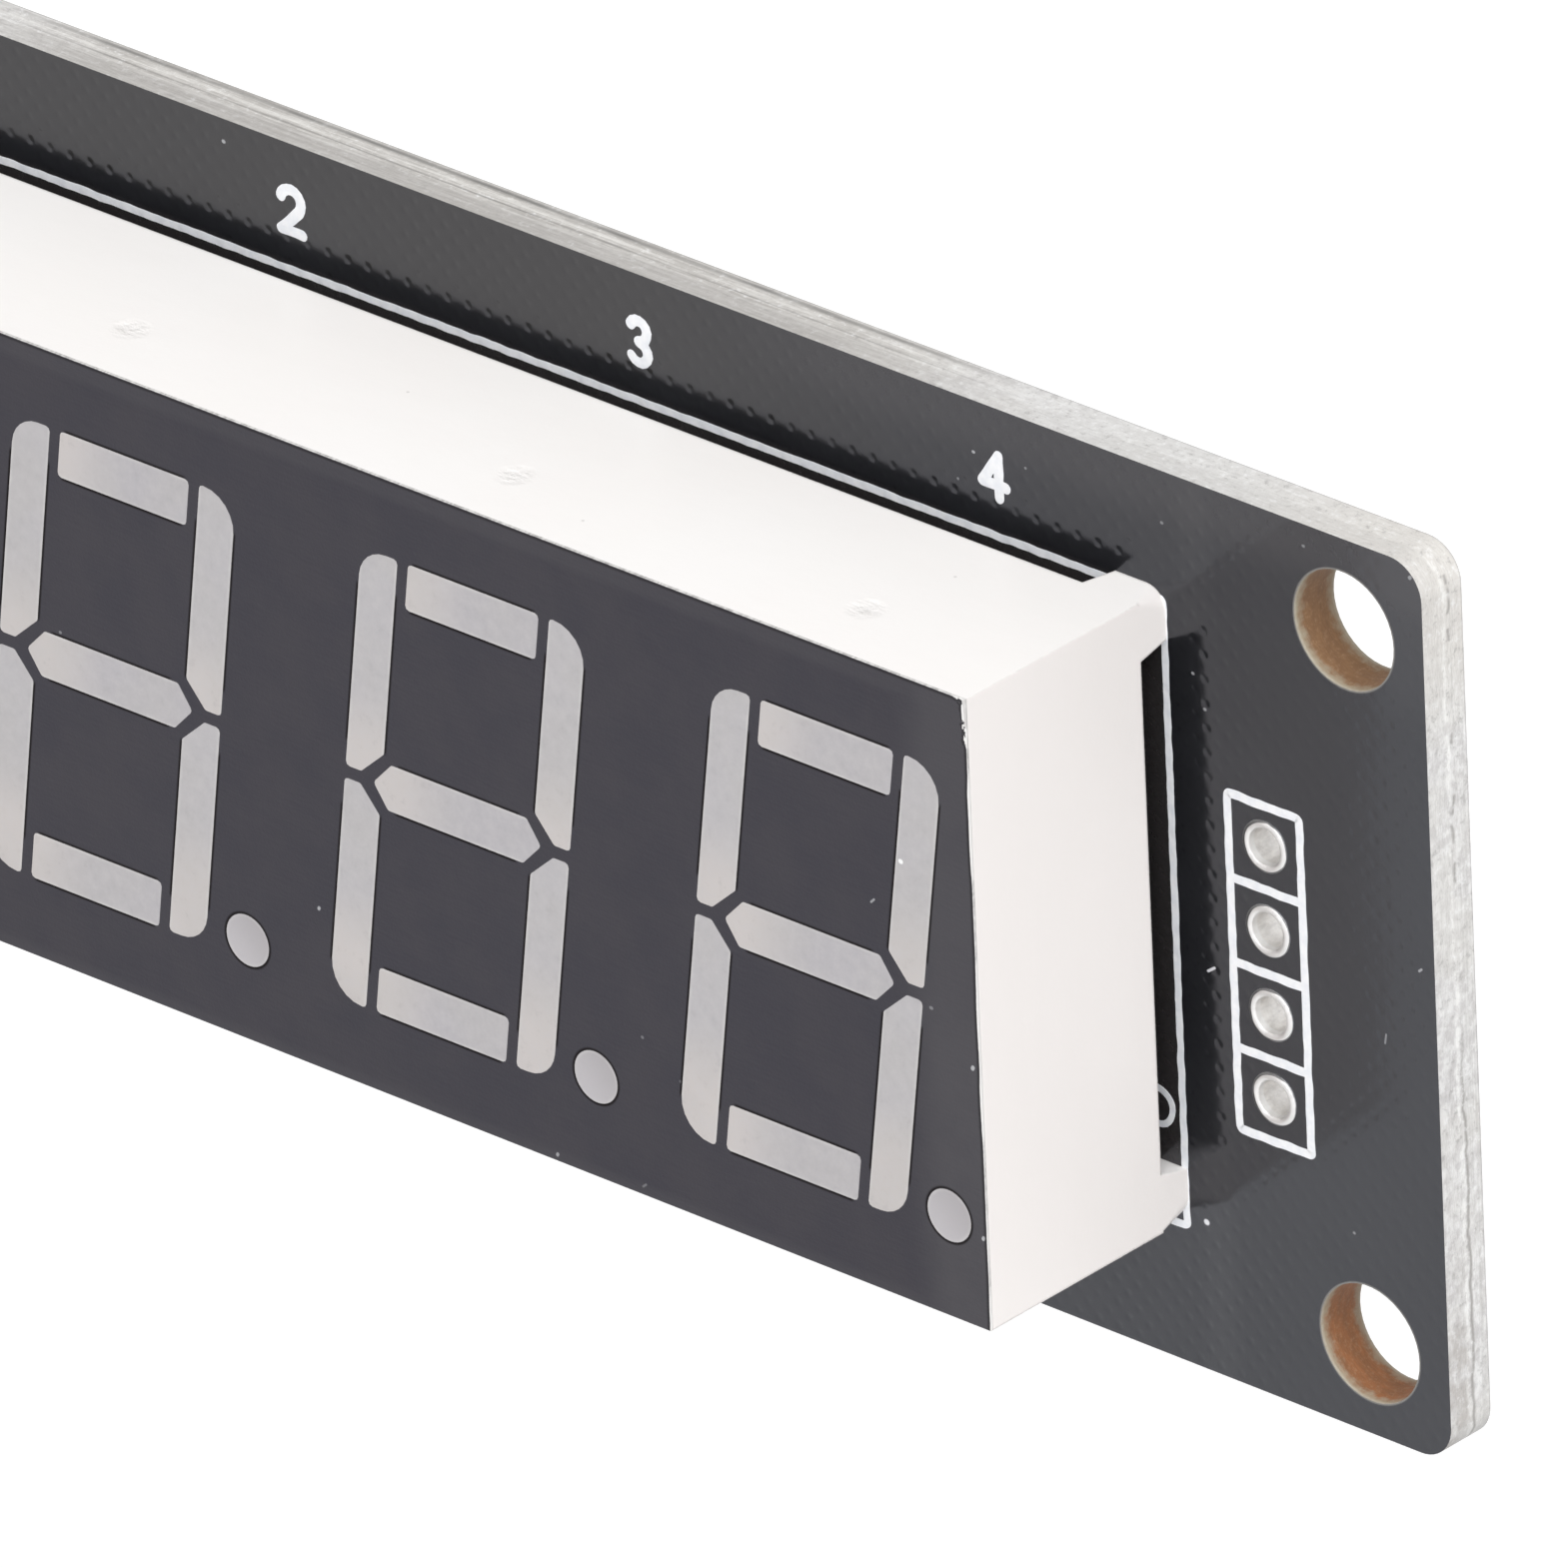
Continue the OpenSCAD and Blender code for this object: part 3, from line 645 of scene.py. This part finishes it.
class Print:
    """Thin shapes that lie on the board's front (-1) or back (1), drawn in X and Z."""

    def __init__(self, side, height):
        self.mesh = bmesh.new()
        self.side = side
        self.base = BOARD_LOW.y if side < 0 else BOARD_HIGH.y
        self.top = self.base + side * height

    def step(self):
        """Raises what is drawn next a little over what is there."""
        self.top += self.side * PRINT_STEP

    def loop(self, points, y):
        """Vertices at points in X and Z."""
        return [self.mesh.verts.new((x, y, z)) for x, z in points]

    def wall(self, a, b):
        """Faces between two loops of vertices."""
        for i in range(len(a)):
            j = (i + 1) % len(a)
            self.mesh.faces.new((a[i], a[j], b[j], b[i]))

    def shape(self, outline):
        """A filled shape."""
        outline = bled(cut_short(outline))
        low, high = self.loop(outline, self.base), self.loop(outline, self.top)
        self.wall(low, high)
        self.mesh.faces.new(high)
        self.mesh.faces.new(low)

    def line(self, points, width):
        """A line with round ends."""
        right = moved_aside(points, -width / 2, closed=False)
        left = moved_aside(points, width / 2, closed=False)
        last = round_end(points[-1], right[-1], width / 2)
        first = round_end(points[0], left[0], width / 2)
        self.shape([*right, *last, *reversed(left), *first])

    def frame(self, points, width):
        """A closed line."""
        points = cut_short(points)
        outer = bled(moved_aside(points, -width / 2, closed=True))
        inner = bled(moved_aside(points, width / 2, closed=True))
        loops = [[self.loop(p, y) for y in (self.base, self.top)] for p in (outer, inner)]
        (outer_low, outer_high), (inner_low, inner_high) = loops
        self.wall(outer_low, outer_high)
        self.wall(inner_high, inner_low)
        self.wall(outer_high, inner_high)
        self.wall(inner_low, outer_low)

    def done(self, name, material):
        """Makes the piece, which rides on the board."""
        for vertex in self.mesh.verts:
            vertex.co *= MM
        bmesh.ops.recalc_face_normals(self.mesh, faces=self.mesh.faces[:])
        data = bpy.data.meshes.new(name)
        self.mesh.to_mesh(data)
        self.mesh.free()
        data.materials.append(material)
        piece = bpy.data.objects.new(name, data)
        bpy.context.scene.collection.objects.link(piece)
        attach(piece, "root")


# Plain numerals as pen strokes, on a height of 1 and about this middle
NUMERAL_MIDDLE = 0.32
NUMERALS = {
    1: [[(0.06, 0.74), (0.34, 1)], [(0.34, 1), (0.34, 0)]],
    2: [arc(0.31, 0.70, 0.30, 165, -38, 10), [(0.546, 0.515), (0, 0)], [(0, 0), (0.62, 0)]],
    3: [arc(0.28, 0.75, 0.25, 150, -90, 10), arc(0.28, 0.25, 0.25, 90, -150, 10)],
    4: [[(0.46, 0), (0.46, 1)], [(0.46, 1), (0, 0.3)], [(0, 0.3), (0.66, 0.3)]],
}


def print_material():
    """White screened ink, which follows the cloth below it."""
    shade = Shade("white_print")
    mottle = shade.noise(3, 4, 0.6)
    colour = shade.mix(shade.ramp(mottle, 0.35, 0.65), PRINT_DULL, PRINT_WHITE)
    height = shade.total(weave_height(shade), shade.product(shade.noise(12, 3), 0.004))
    shade.set(base_color=colour, roughness=0.5, normal=shade.bump(height))
    return shade.material


def draw_number(ink, value, x, z, height, width):
    """A number, seen the right way round from the side that it is printed on."""
    base = ink.top
    across = -ink.side * height
    for stroke in NUMERALS[value]:
        ink.line([(x + across * (px - NUMERAL_MIDDLE), z + height * pz) for px, pz in stroke], width)
        ink.step()
    ink.top = base


def print_front(material):
    """The line round the display, the header's box, the small ring and the position numbers."""
    ink = Print(-1, PRINT_T)
    ink.frame(rounded_box(*DISPLAY_LINE, DISPLAY_LINE_R), DISPLAY_LINE_W)
    ink.frame(rounded_box(*HEADER_BOX, HEADER_BOX_R), HEADER_BOX_W)
    left, right = HEADER_BOX[0] + HEADER_BOX_W / 2, HEADER_BOX[2] - HEADER_BOX_W / 2
    for z in HEADER_LINES_Z:
        low, high = z - HEADER_BOX_W / 2, z + HEADER_BOX_W / 2
        ink.shape([(left, low), (right, low), (right, high), (left, high)])
    ink.frame(circle(RING_X, RING_Z, RING_R), RING_W)
    for k in range(4):
        x = DIGITS_X + (k - 1.5) * DIGIT_PITCH
        draw_number(ink, k + 1, x, NUMBER_Z, NUMBER_H, NUMBER_W)
    ink.done("front_print", material)


# ---- Traces and print on the board's back ----

TRACE_T = 0.025
COPPER_DARK, COPPER_PALE = (0.021, 0.0195, 0.0185), (0.026, 0.024, 0.0225)
BACK_PRINT_T = 0.04
BACK_LINE_W = 0.16
OUTLINE_R = 0.2
SIGNAL_W = 0.3
POWER_W = 0.5
VIA_R, VIA_W = 0.23, 0.22
PIN_PITCH = 2.54
LAND_PITCH = 1.27
# The driver's lands that join the display's pins, in land pitches from the middle
PIN_LANDS = (-4.5, -3.5, -1.5, 1.5, 3.5, 4.5)
# In the upper and lower rows: the outer ends of the lands, and the edges of the pins' rings
FAN_ROWS = ((5.9, 7.4), (-5.0, -6.5))
# Each trace runs this far straight out of its land
FAN_LEAD = 0.3
POWER_TRACES = [
    [(27.8, 3.27), (3.425, 3.27), (3.175, 3.52), (3.175, 4.4)],
    [(-10.6, 1.7), (-10.6, 2.4), (-9.73, 3.27), (-3.425, 3.27), (-3.175, 3.52), (-3.175, 4.4)],
    [(27.8, -4.35), (8.6, -4.35)],
]
SIGNAL_TRACES = [
    [(27.8, -1.81), (24.0, -1.81), (23.59, -1.4), (22.7, -1.4)],
    [(27.8, 0.73), (24.2, 0.73), (23.2, 1.73), (20.7, 1.73), (20, 1.03), (20, 0.6)],
    [
        (20, -1.5), (20, -2.3), (19.4, -2.9), (9.9, -2.9), (8.6, -1.6), (0.93, -1.6), (0.635, -1.895),
        (0.635, -3.4),
    ],
    [
        (22.2, 0.4), (21.6, 0.4), (21.2, 0), (21.2, -2.9), (20.6, -3.5), (10.15, -3.5), (8.85, -2.2),
        (3.47, -2.2), (3.175, -2.495), (3.175, -3.4),
    ],
]
# Short traces that meet the power line or a via
TAPS = [
    [(15.2, 0.6), (15.2, 3.2)], [(17.6, 0.6), (17.6, 3.2)],
    [(15.2, -1.6), (15.2, -2.1)], [(17.6, -1.6), (17.6, -2.1)], [(-10.6, -1.0), (-10.6, -2.0)],
]
VIAS = [(15.2, -2.15), (17.6, -2.15), (-10.6, -2.1), (8.5, -4.35), (-24.0, -4.0), (-24.0, 2.6)]
# Chip parts on the back: the middle of each and half its outline's width and height
CHIP_OUTLINES = [
    (15.2, -0.5, 0.8, 1.65), (17.6, -0.5, 0.8, 1.65), (20, -0.5, 0.8, 1.65), (22.4, -0.5, 0.8, 1.65),
    (-10.6, 0.45, 1.05, 1.9),
]
# The lines at the driver's ends, and the dot at its first pin: its middle and radius
DRIVER_BARS_X = 6.85
DRIVER_BARS_Z = (-3.2, 4.1)
PIN_ONE = (-7.1, -4.3, 0.3)
HEADER_NUMBERS_X = 30.6
HEADER_NUMBER_H = 1.1


def trace_material():
    """Solder mask over a copper trace."""
    shade = Shade("masked_copper")
    cloud = shade.noise(0.6, 3)
    colour = shade.mix(shade.ramp(cloud, 0.35, 0.65), COPPER_DARK, COPPER_PALE)
    height = shade.total(shade.product(shade.noise(3, 3), 0.01), weave_height(shade))
    shade.set(base_color=colour, roughness=0.18, IOR=MASK_IOR)
    shade.set(normal=shade.bump(height, shade.soft_edges(0.02)))
    return shade.material


def fan_out(copper):
    """Joins each of the display's pins to a land of the driver."""
    for land_z, pin_z in FAN_ROWS:
        out = math.copysign(1, pin_z)
        for i, land in enumerate(PIN_LANDS):
            land_x, pin_x = land * LAND_PITCH, (i - 2.5) * PIN_PITCH
            bend = land_z + out * FAN_LEAD
            past = bend + out * abs(pin_x - land_x)
            copper.line([(land_x, land_z), (land_x, bend), (pin_x, past), (pin_x, pin_z)], SIGNAL_W)


def run_traces(material):
    """The masked copper traces and vias."""
    copper = Print(1, TRACE_T)
    fan_out(copper)
    for points in POWER_TRACES:
        copper.line(points, POWER_W)
    for points in SIGNAL_TRACES:
        copper.line(points, SIGNAL_W)
    copper.step()
    for points in TAPS:
        copper.line(points, SIGNAL_W)
    copper.step()
    for x, z in VIAS:
        copper.frame(circle(x, z, VIA_R), VIA_W)
    copper.done("back_traces", material)


def print_back(material):
    """The outlines of the chip parts and the header, a pin-one dot, and the header's numbers."""
    ink = Print(1, BACK_PRINT_T)
    for x, z, half_w, half_h in CHIP_OUTLINES:
        box = rounded_box(x - half_w, z - half_h, x + half_w, z + half_h, OUTLINE_R)
        ink.frame(box, BACK_LINE_W)
    for x in (-DRIVER_BARS_X, DRIVER_BARS_X):
        ink.line([(x, DRIVER_BARS_Z[0]), (x, DRIVER_BARS_Z[1])], BACK_LINE_W)
    ink.shape(circle(*PIN_ONE))
    ink.frame(rounded_box(*HEADER_BOX, HEADER_BOX_R), BACK_LINE_W)
    for k in range(4):
        z = HEADER_Z + (k - 1.5) * HEADER_PITCH - HEADER_NUMBER_H / 2
        draw_number(ink, k + 1, HEADER_NUMBERS_X, z, HEADER_NUMBER_H, BACK_LINE_W)
    ink.done("back_print", material)


# ---- Display ----

# The gate scars on the housing's top
SCARS_X = (7.0, 19.6)
SCARS_Y = -7.3
# The moulding: its tone in clouds, the painted shade on its sides, the painted shade in its scars, and its
# specks
HOUSING_DULL, HOUSING_PALE = (0.90, 0.876, 0.858), (0.905, 0.888, 0.874)
HOUSING_SIDE_SHADE = (0.895, 0.855, 0.835)
SCAR_SHADE, SPECK = (0.60, 0.58, 0.55), (0.35, 0.33, 0.31)


def scar_share(shade):
    """1 round the gate scars on the housing's top, in both halves of its width."""
    x, y, _ = shade.xyz()
    across = shade.absolute(x)
    dy = shade.minus(y, SCARS_Y)
    shares = []
    for place in SCARS_X:
        away = shade.length(shade.minus(across, place), dy)
        shares.append(shade.ramp(away, 0.1, 0.75, 1, 0))
    return shade.product(shade.most(*shares), shade.facing_axis(2))


def housing_material():
    """White moulded plastic: faint clouds and specks, sides painted darker as shade, and torn gate scars on
    top with painted shade in them.
    """
    shade = Shade("white_housing")
    cloud = shade.noise(0.12, 3)
    colour = shade.mix(shade.ramp(cloud, 0.3, 0.7), HOUSING_DULL, HOUSING_PALE)
    # Painted shade: the sides, which face along X, are darker than the top and the front
    colour = shade.mix(shade.facing_axis(0), colour, HOUSING_SIDE_SHADE)
    scar = scar_share(shade)
    torn = shade.noise(1.8, 4, 0.7, stretch=(1, 1.8, 1))
    # Painted shade: grey blotches in the scars stand for the shade of their torn relief
    scar_shade_blotches = shade.ramp(torn, 0.53, 0.64)
    colour = shade.mix(shade.product(scar, scar_shade_blotches, 0.35), colour, SCAR_SHADE)
    colour = shade.mix(shade.product(shade.specks(0.9, 0.05, 0.3), 0.35), colour, SPECK)
    flow = shade.noise(0.5, 2, stretch=(1, 2, 0.4))
    ridges = shade.product(scar, shade.minus(torn, 0.5), 0.12)
    height = shade.total(shade.product(shade.noise(9, 3), 0.003), shade.product(flow, 0.01), ridges)
    shade.set(base_color=colour, roughness=0.42, normal=shade.bump(height, shade.soft_edges(0.1)))
    return shade.material


# Half the width of an upright segment and of a level one, and the radius of a point
UPRIGHT_HALF = 0.665
LEVEL_HALF = 0.715
POINT_R = 0.775
# The ink ends in a sloping edge, painted dark as shade: how far outside a window and inside the face's edge,
# and how wide
SLOPE_OUT, SLOPE_IN, SLOPE_W = 0.035, 0.05, 0.08
# The ink: its tone in clouds, its haze at the ends and along the edges, and the painted shade on its sloping
# edge
INK_DARK, INK_PALE = (0.007, 0.005, 0.015), (0.013, 0.010, 0.019)
INK_HAZE, INK_SLOPE_SHADE = (0.035, 0.032, 0.040), (0.006, 0.004, 0.004)
# The moulding beside the ink, clean and dirty
BARE, BARE_DIRTY = (0.88, 0.865, 0.85), (0.55, 0.53, 0.52)
# Marks on the face: x, z, length, width, angle and strength of each
FACE_MARKS = [
    (21.52, 2.77, 0.16, 0.07, 45, 0.35), (1.14, -4.11, 0.04, 0.11, 60, 0.45),
    (9.56, -8.86, 0.04, 0.11, 60, 0.35), (24.89, -1.17, 0.05, 0.13, 60, 0.5),
    (25.02, -6.28, 0.05, 0.12, 60, 0.5), (12.72, -8.76, 0.15, 0.07, 40, 0.15),
    (14.23, -5.10, 0.02, 0.10, 0, 0.15), (23.48, 0.18, 0.04, 0.11, 0, 0.2),
    (12.89, -4.19, 0.02, 0.10, 0, 0.15), (-8.02, 1.35, 0.02, 0.10, 0, 0.2),
]


def ink_edge(shade):
    """How far inside the edge of the black ink a place lies, in millimetres. The ink is worn at its sides."""
    x, _, z = shade.xyz()
    low, high = (BLOCK_LOW.x, BLOCK_LOW.z - 0.3), (BLOCK_HIGH.x, BLOCK_HIGH.z)
    corner = shade.product(shade.ramp(x, 24.7, 24.95), shade.ramp(z, 8.1, 9.1))
    side = shade.ramp(shade.absolute(x), 24.7, 24.9)
    wave = shade.ramp(shade.noise(0.35, 2), 0.4, 0.62, 0, 0.035)
    chips = shade.ramp(shade.noise(1.9, 4, 0.7), 0.5, 0.62, 0, 0.12)
    rough = shade.product(shade.minus(shade.noise(6, 2), 0.5), 0.015)
    margin = shade.total(0.005, rough, shade.product(side, wave), shade.product(corner, chips))
    return shade.minus(shade.inset(low, high, 0.2), margin)


def digit_place(shade, lean):
    """Distances across and up from the middle of the digit that a place belongs to, in millimetres."""
    x, _, z = shade.xyz()
    up = shade.minus(z, DIGITS_Z)
    level_x = shade.minus(x, shade.product(up, math.tan(math.radians(lean))))
    return shade.repeated(shade.minus(level_x, DIGITS_X), DIGIT_PITCH), up


def segment_place(shade):
    """Distances from a digit's middle, and from the middle lines of its upright and level segments."""
    across, up = digit_place(shade, DIGIT_LEAN)
    side, height = shade.absolute(across), shade.absolute(up)
    from_upright = shade.absolute(shade.minus(side, UPRIGHT_X))
    from_outer = shade.absolute(shade.minus(height, LEVEL_Z))
    return side, height, from_upright, shade.math("MINIMUM", height, from_outer)


def point_place(shade):
    """How far right of, above and away from the middle of the decimal point a place lies."""
    across, up = digit_place(shade, 0)
    from_x, from_z = shade.minus(across, POINT_X), shade.minus(up, POINT_Z)
    return from_x, from_z, shade.length(from_x, from_z)


def window_edge_shade(shade):
    """1 on the thin sloping edge where the ink ends, beside the segments and round the points, which is
    painted dark as shade.
    """
    side, height, from_upright, from_level = segment_place(shade)
    straight = shade.product(shade.ramp(height, 0.9, 1.1), shade.ramp(height, 5.9, 6.1, 1, 0))
    upright = shade.product(shade.near(from_upright, UPRIGHT_HALF + SLOPE_OUT, SLOPE_W), straight)
    level = shade.near(from_level, LEVEL_HALF + SLOPE_OUT, SLOPE_W)
    level = shade.product(level, shade.ramp(side, 2.1, 2.3, 1, 0))
    point = shade.near(point_place(shade)[2], POINT_R + SLOPE_OUT, SLOPE_W)
    return shade.most(upright, level, point)


def face_material():
    """Black ink, hazier at its ends, over the white moulding, which shows past the ink's edge."""
    shade = Shade("black_face")
    x, _, z = shade.xyz()
    inside = ink_edge(shade)
    cloud = shade.noise(0.5, 4, 0.6)
    colour = shade.mix(shade.ramp(cloud, 0.3, 0.7), INK_DARK, INK_PALE)
    end = shade.ramp(shade.absolute(x), 22.2, 23.9)
    end = shade.product(end, shade.ramp(cloud, 0.3, 0.6, 0.75, 1), shade.ramp(z, -1, 2, 1, 0.8))
    haze = shade.most(end, shade.ramp(inside, 0.4, 0.75, 0.38, 0))
    colour = shade.mix(haze, colour, INK_HAZE)
    colour = shade.mix(shade.marks(FACE_MARKS), colour, DUST)
    # Painted shade: a dark line where the ink ends near the face's edge, and round the windows
    brim_shade = shade.product(shade.near(inside, SLOPE_IN, SLOPE_W), 0.6)
    slope_shade = shade.most(shade.product(window_edge_shade(shade), 0.95), brim_shade)
    colour = shade.mix(slope_shade, colour, INK_SLOPE_SHADE)
    dirt = shade.ramp(shade.noise(3, 3, stretch=(3, 1, 0.5)), 0.45, 0.6, 0, 0.7)
    bare = shade.mix(shade.product(dirt, shade.ramp(z, 7.6, 8.4)), BARE, BARE_DIRTY)
    colour = shade.mix(shade.ramp(inside, -0.012, 0.012), bare, colour)
    scratch = shade.product(shade.noise(1.5, 3, stretch=(1, 1, 6)), 0.006)
    height = shade.total(shade.product(shade.noise(14, 3), 0.004), scratch)
    # The sloping edge is painted dark as shade: as a dark metal, it shows none of the ink's sheen
    shade.set(base_color=colour, roughness=0.36, metallic=slope_shade, IOR=1.445)
    shade.set(normal=shade.bump(height, shade.soft_edges(0.06)))
    return shade.material


# How far inside a window's edge its pale rim reaches
RIM_W = 0.115
# The resin: its level and upright segments, the painted light at their ends, its clouds and mottle, and its
# rims
RESIN_LEVEL, RESIN_UPRIGHT = (0.432, 0.415, 0.436), (0.452, 0.436, 0.450)
RESIN_LIT_END, RESIN_CLOUD = (0.552, 0.515, 0.503), (0.452, 0.434, 0.424)
MOTTLE_PALE, MOTTLE_DARK = (0.53, 0.51, 0.515), (0.36, 0.345, 0.355)
# The decimal points: painted light on their lower left, painted shade on their upper right
POINT_LIT, POINT_SHADED = (0.478, 0.460, 0.484), (0.351, 0.333, 0.351)
RESIN_RIM = (0.60, 0.585, 0.575)
RESIN_SPECK, RESIN_SPECK_COLOUR = (22.6, 4.3, 0.02, 0.16, 0), (0.9, 0.9, 0.9)


def on_upright(shade, side, height):
    """1 on the upright segments of a digit, else 0. The middle one's pointed ends reach between them."""
    limit = shade.ramp(height, 0.3, 0.6, UPRIGHT_X - 0.42, UPRIGHT_X - 0.69)
    return shade.math("GREATER_THAN", side, limit)


def window_rim(shade):
    """1 along the edges of the windows, where the resin looks paler."""
    side, height, from_upright, from_level = segment_place(shade)
    upright = on_upright(shade, side, height)
    not_point = shade.below(side, UPRIGHT_X + 0.8)
    upright_rim = shade.ramp(from_upright, UPRIGHT_HALF - RIM_W, UPRIGHT_HALF - 0.005)
    level_rim = shade.ramp(from_level, LEVEL_HALF - RIM_W, LEVEL_HALF - 0.005)
    point_rim = shade.product(shade.near(point_place(shade)[2], POINT_R - 0.015, 0.1), 0.6)
    return shade.most(
        shade.product(upright_rim, upright, not_point),
        shade.product(level_rim, shade.minus(1, upright)),
        point_rim,
    )


def resin_material():
    """Milky mottled resin, with painted light at one end of each segment and across each point, and paler
    along the edges of each window.
    """
    shade = Shade("segment_resin")
    across, up = digit_place(shade, DIGIT_LEAN)
    upright = on_upright(shade, shade.absolute(across), shade.absolute(up))
    above = shade.total(up, shade.product(shade.below(up, 0), LEVEL_Z))
    # Painted light: the lower end of each upright segment and the left end of each level one are paler, as
    # where they catch the light
    lit_lower_end = shade.product(shade.ramp(above, 0.7, 3.2, 1, 0), upright)
    lit_left_end = shade.product(shade.ramp(across, -2.5, 0.2, 1, 0), shade.minus(1, upright))
    colour = shade.mix(upright, RESIN_LEVEL, RESIN_UPRIGHT)
    colour = shade.mix(shade.most(lit_lower_end, lit_left_end), colour, RESIN_LIT_END)
    cloud = shade.noise(0.45, 3)
    colour = shade.mix(shade.ramp(cloud, 0.35, 0.65, 0, 0.35), colour, RESIN_CLOUD)
    mottle = shade.noise(2.4, 5, 0.7)
    colour = shade.mix(shade.ramp(mottle, 0.4, 0.7, 0, 0.4), colour, MOTTLE_PALE)
    colour = shade.mix(shade.ramp(mottle, 0.45, 0.3, 0, 0.3), colour, MOTTLE_DARK)
    from_x, from_z, from_point = point_place(shade)
    # Painted light and shade across each point, paler at its lower left
    point = shade.mix(shade.ramp(shade.total(from_x, from_z), -1.6, 1.6), POINT_LIT, POINT_SHADED)
    on_point = shade.below(from_point, POINT_R + 0.125)
    colour = shade.mix(shade.product(on_point, 0.85), colour, point)
    rim = shade.product(window_rim(shade), shade.ramp(shade.noise(2, 2), 0.3, 0.7, 0.2, 0.7))
    colour = shade.mix(rim, colour, RESIN_RIM)
    colour = shade.mix(shade.dash(*RESIN_SPECK), colour, RESIN_SPECK_COLOUR)
    grain = shade.bump(shade.product(shade.noise(8, 4, 0.6), 0.006))
    shade.set(base_color=colour, roughness=0.32, normal=grain)
    return shade.material


# ---- Metal and small parts ----

# The tin of the header: its streaks, its lip, and its rings, which are painted darker as shade
TIN_DULL, TIN_BRIGHT = (0.75, 0.735, 0.72), (1.0, 0.985, 0.965)
TIN_LIP, TIN_RING_SHADE = (1.0, 1.0, 1.0), (0.61, 0.602, 0.60)
STREAK_ANGLE = 35
# The solder mask laps the rings from this radius on, about a place this far off each hole's axis
LAP_R = 0.705
LAP_X, LAP_Z = 0.055, 0.015


def metal_material(name, colour, roughness, dents=0.004):
    """Dull mottled metal, faintly dented."""
    shade = Shade(name)
    mottle = shade.noise(6, 4, 0.6)
    dull = [0.86 * c for c in colour]
    height = shade.total(shade.product(shade.noise(10, 3), dents), shade.product(shade.noise(2.5, 2), 0.03))
    shade.set(
        base_color=shade.mix(shade.ramp(mottle, 0.35, 0.65), dull, colour),
        metallic=1.0,
        roughness=shade.ramp(mottle, 0.3, 0.7, roughness, roughness + 0.15),
        normal=shade.bump(height),
    )
    return shade.material


def header_pad_material():
    """Tinned barrels with brushed streaks, whose rings are painted darker as shade and which the solder mask
    laps unevenly.
    """
    shade = Shade("header_tin")
    x, y, z = shade.xyz()
    on_ring = shade.facing_axis(1)
    along, across = shade.turned(STREAK_ANGLE)
    brushed = shade.join(shade.product(along, 0.3), y, shade.product(across, 3.0))
    streaks = shade.noise(2.2, 3, 0.6, at=brushed)
    blotch = shade.noise(1.6, 3, 0.6)
    tone = shade.ramp(shade.total(shade.product(streaks, 0.6), shade.product(blotch, 0.4)), 0.35, 0.65)
    colour = shade.mix(tone, TIN_DULL, TIN_BRIGHT)
    lip = shade.product(shade.ramp(y, -1.47, -1.40, 0.9, 0), shade.minus(1, on_ring))
    colour = shade.mix(lip, colour, TIN_LIP)
    # Painted shade: the rings, which face along Y, are darker than the barrels of the same tin
    colour = shade.mix(shade.product(on_ring, 0.8), colour, TIN_RING_SHADE)
    dx = shade.minus(shade.minus(x, HEADER_X), LAP_X)
    dz = shade.minus(shade.repeated(shade.minus(z, HEADER_Z), HEADER_PITCH), LAP_Z)
    limit = shade.total(LAP_R, shade.ramp(shade.noise(1.1, 2), 0.35, 0.65, -0.01, 0.03))
    past = shade.minus(shade.length(dx, dz), limit)
    lapped = shade.product(shade.ramp(past, 0, 0.02), on_ring)
    height = shade.total(shade.product(streaks, 0.014), shade.product(shade.noise(2.5, 3), 0.035))
    shade.set(
        base_color=shade.mix(lapped, colour, MASK),
        metallic=shade.minus(1, lapped),
        roughness=shade.ramp(streaks, 0.3, 0.7, 0.34, 0.5),
        normal=shade.bump(height),
    )
    return shade.material


def plain_material(name, colour, roughness, grain=0.004):
    """A mottled solid with a fine grain."""
    shade = Shade(name)
    mottle = shade.noise(5, 4, 0.6)
    dull = [0.85 * c for c in colour]
    shade.set(
        base_color=shade.mix(shade.ramp(mottle, 0.35, 0.65), dull, colour),
        roughness=roughness,
        normal=shade.bump(shade.product(shade.noise(20, 3), grain)),
    )
    return shade.material


TIN_NODES = (
    "display_pads", "driver_pads", "passive_pads", "upper_pins", "lower_pins",
    "driver_leads", "capacitor_terminals", "resistor_terminals",
)
SOLDER_NODES = ("pin_solder", "driver_solder", "passive_solder")


def finish_nodes():
    """Gives each CAD node its finish."""
    tin = metal_material("tin", (0.90, 0.885, 0.87), 0.28)
    solder = metal_material("solder", (0.84, 0.84, 0.83), 0.3, 0.001)
    finishes = {
        "main_board": board_material(),
        "display_housing": housing_material(),
        "face_mask": face_material(),
        "segment_resin": resin_material(),
        "die_board": plain_material("laminate", (0.62, 0.55, 0.36), 0.6),
        "led_chips": plain_material("die", (0.6, 0.25, 0.05), 0.3),
        "driver_body": plain_material("black_epoxy", (0.02, 0.02, 0.022), 0.5, 0.01),
        "capacitor_bodies": plain_material("ceramic", (0.36, 0.22, 0.12), 0.5),
        "resistor_bodies": plain_material("alumina", (0.82, 0.81, 0.77), 0.6),
        "resistor_coats": plain_material("glaze", (0.01, 0.01, 0.012), 0.25),
        "header_pads": header_pad_material(),
    }
    finishes.update(dict.fromkeys(TIN_NODES, tin))
    finishes.update(dict.fromkeys(SOLDER_NODES, solder))
    for name, material in finishes.items():
        NODES[name].data.materials[0] = material


make_camera()
make_room()
finish_nodes()
white_print = print_material()
print_front(white_print)
run_traces(trace_material())
print_back(white_print)
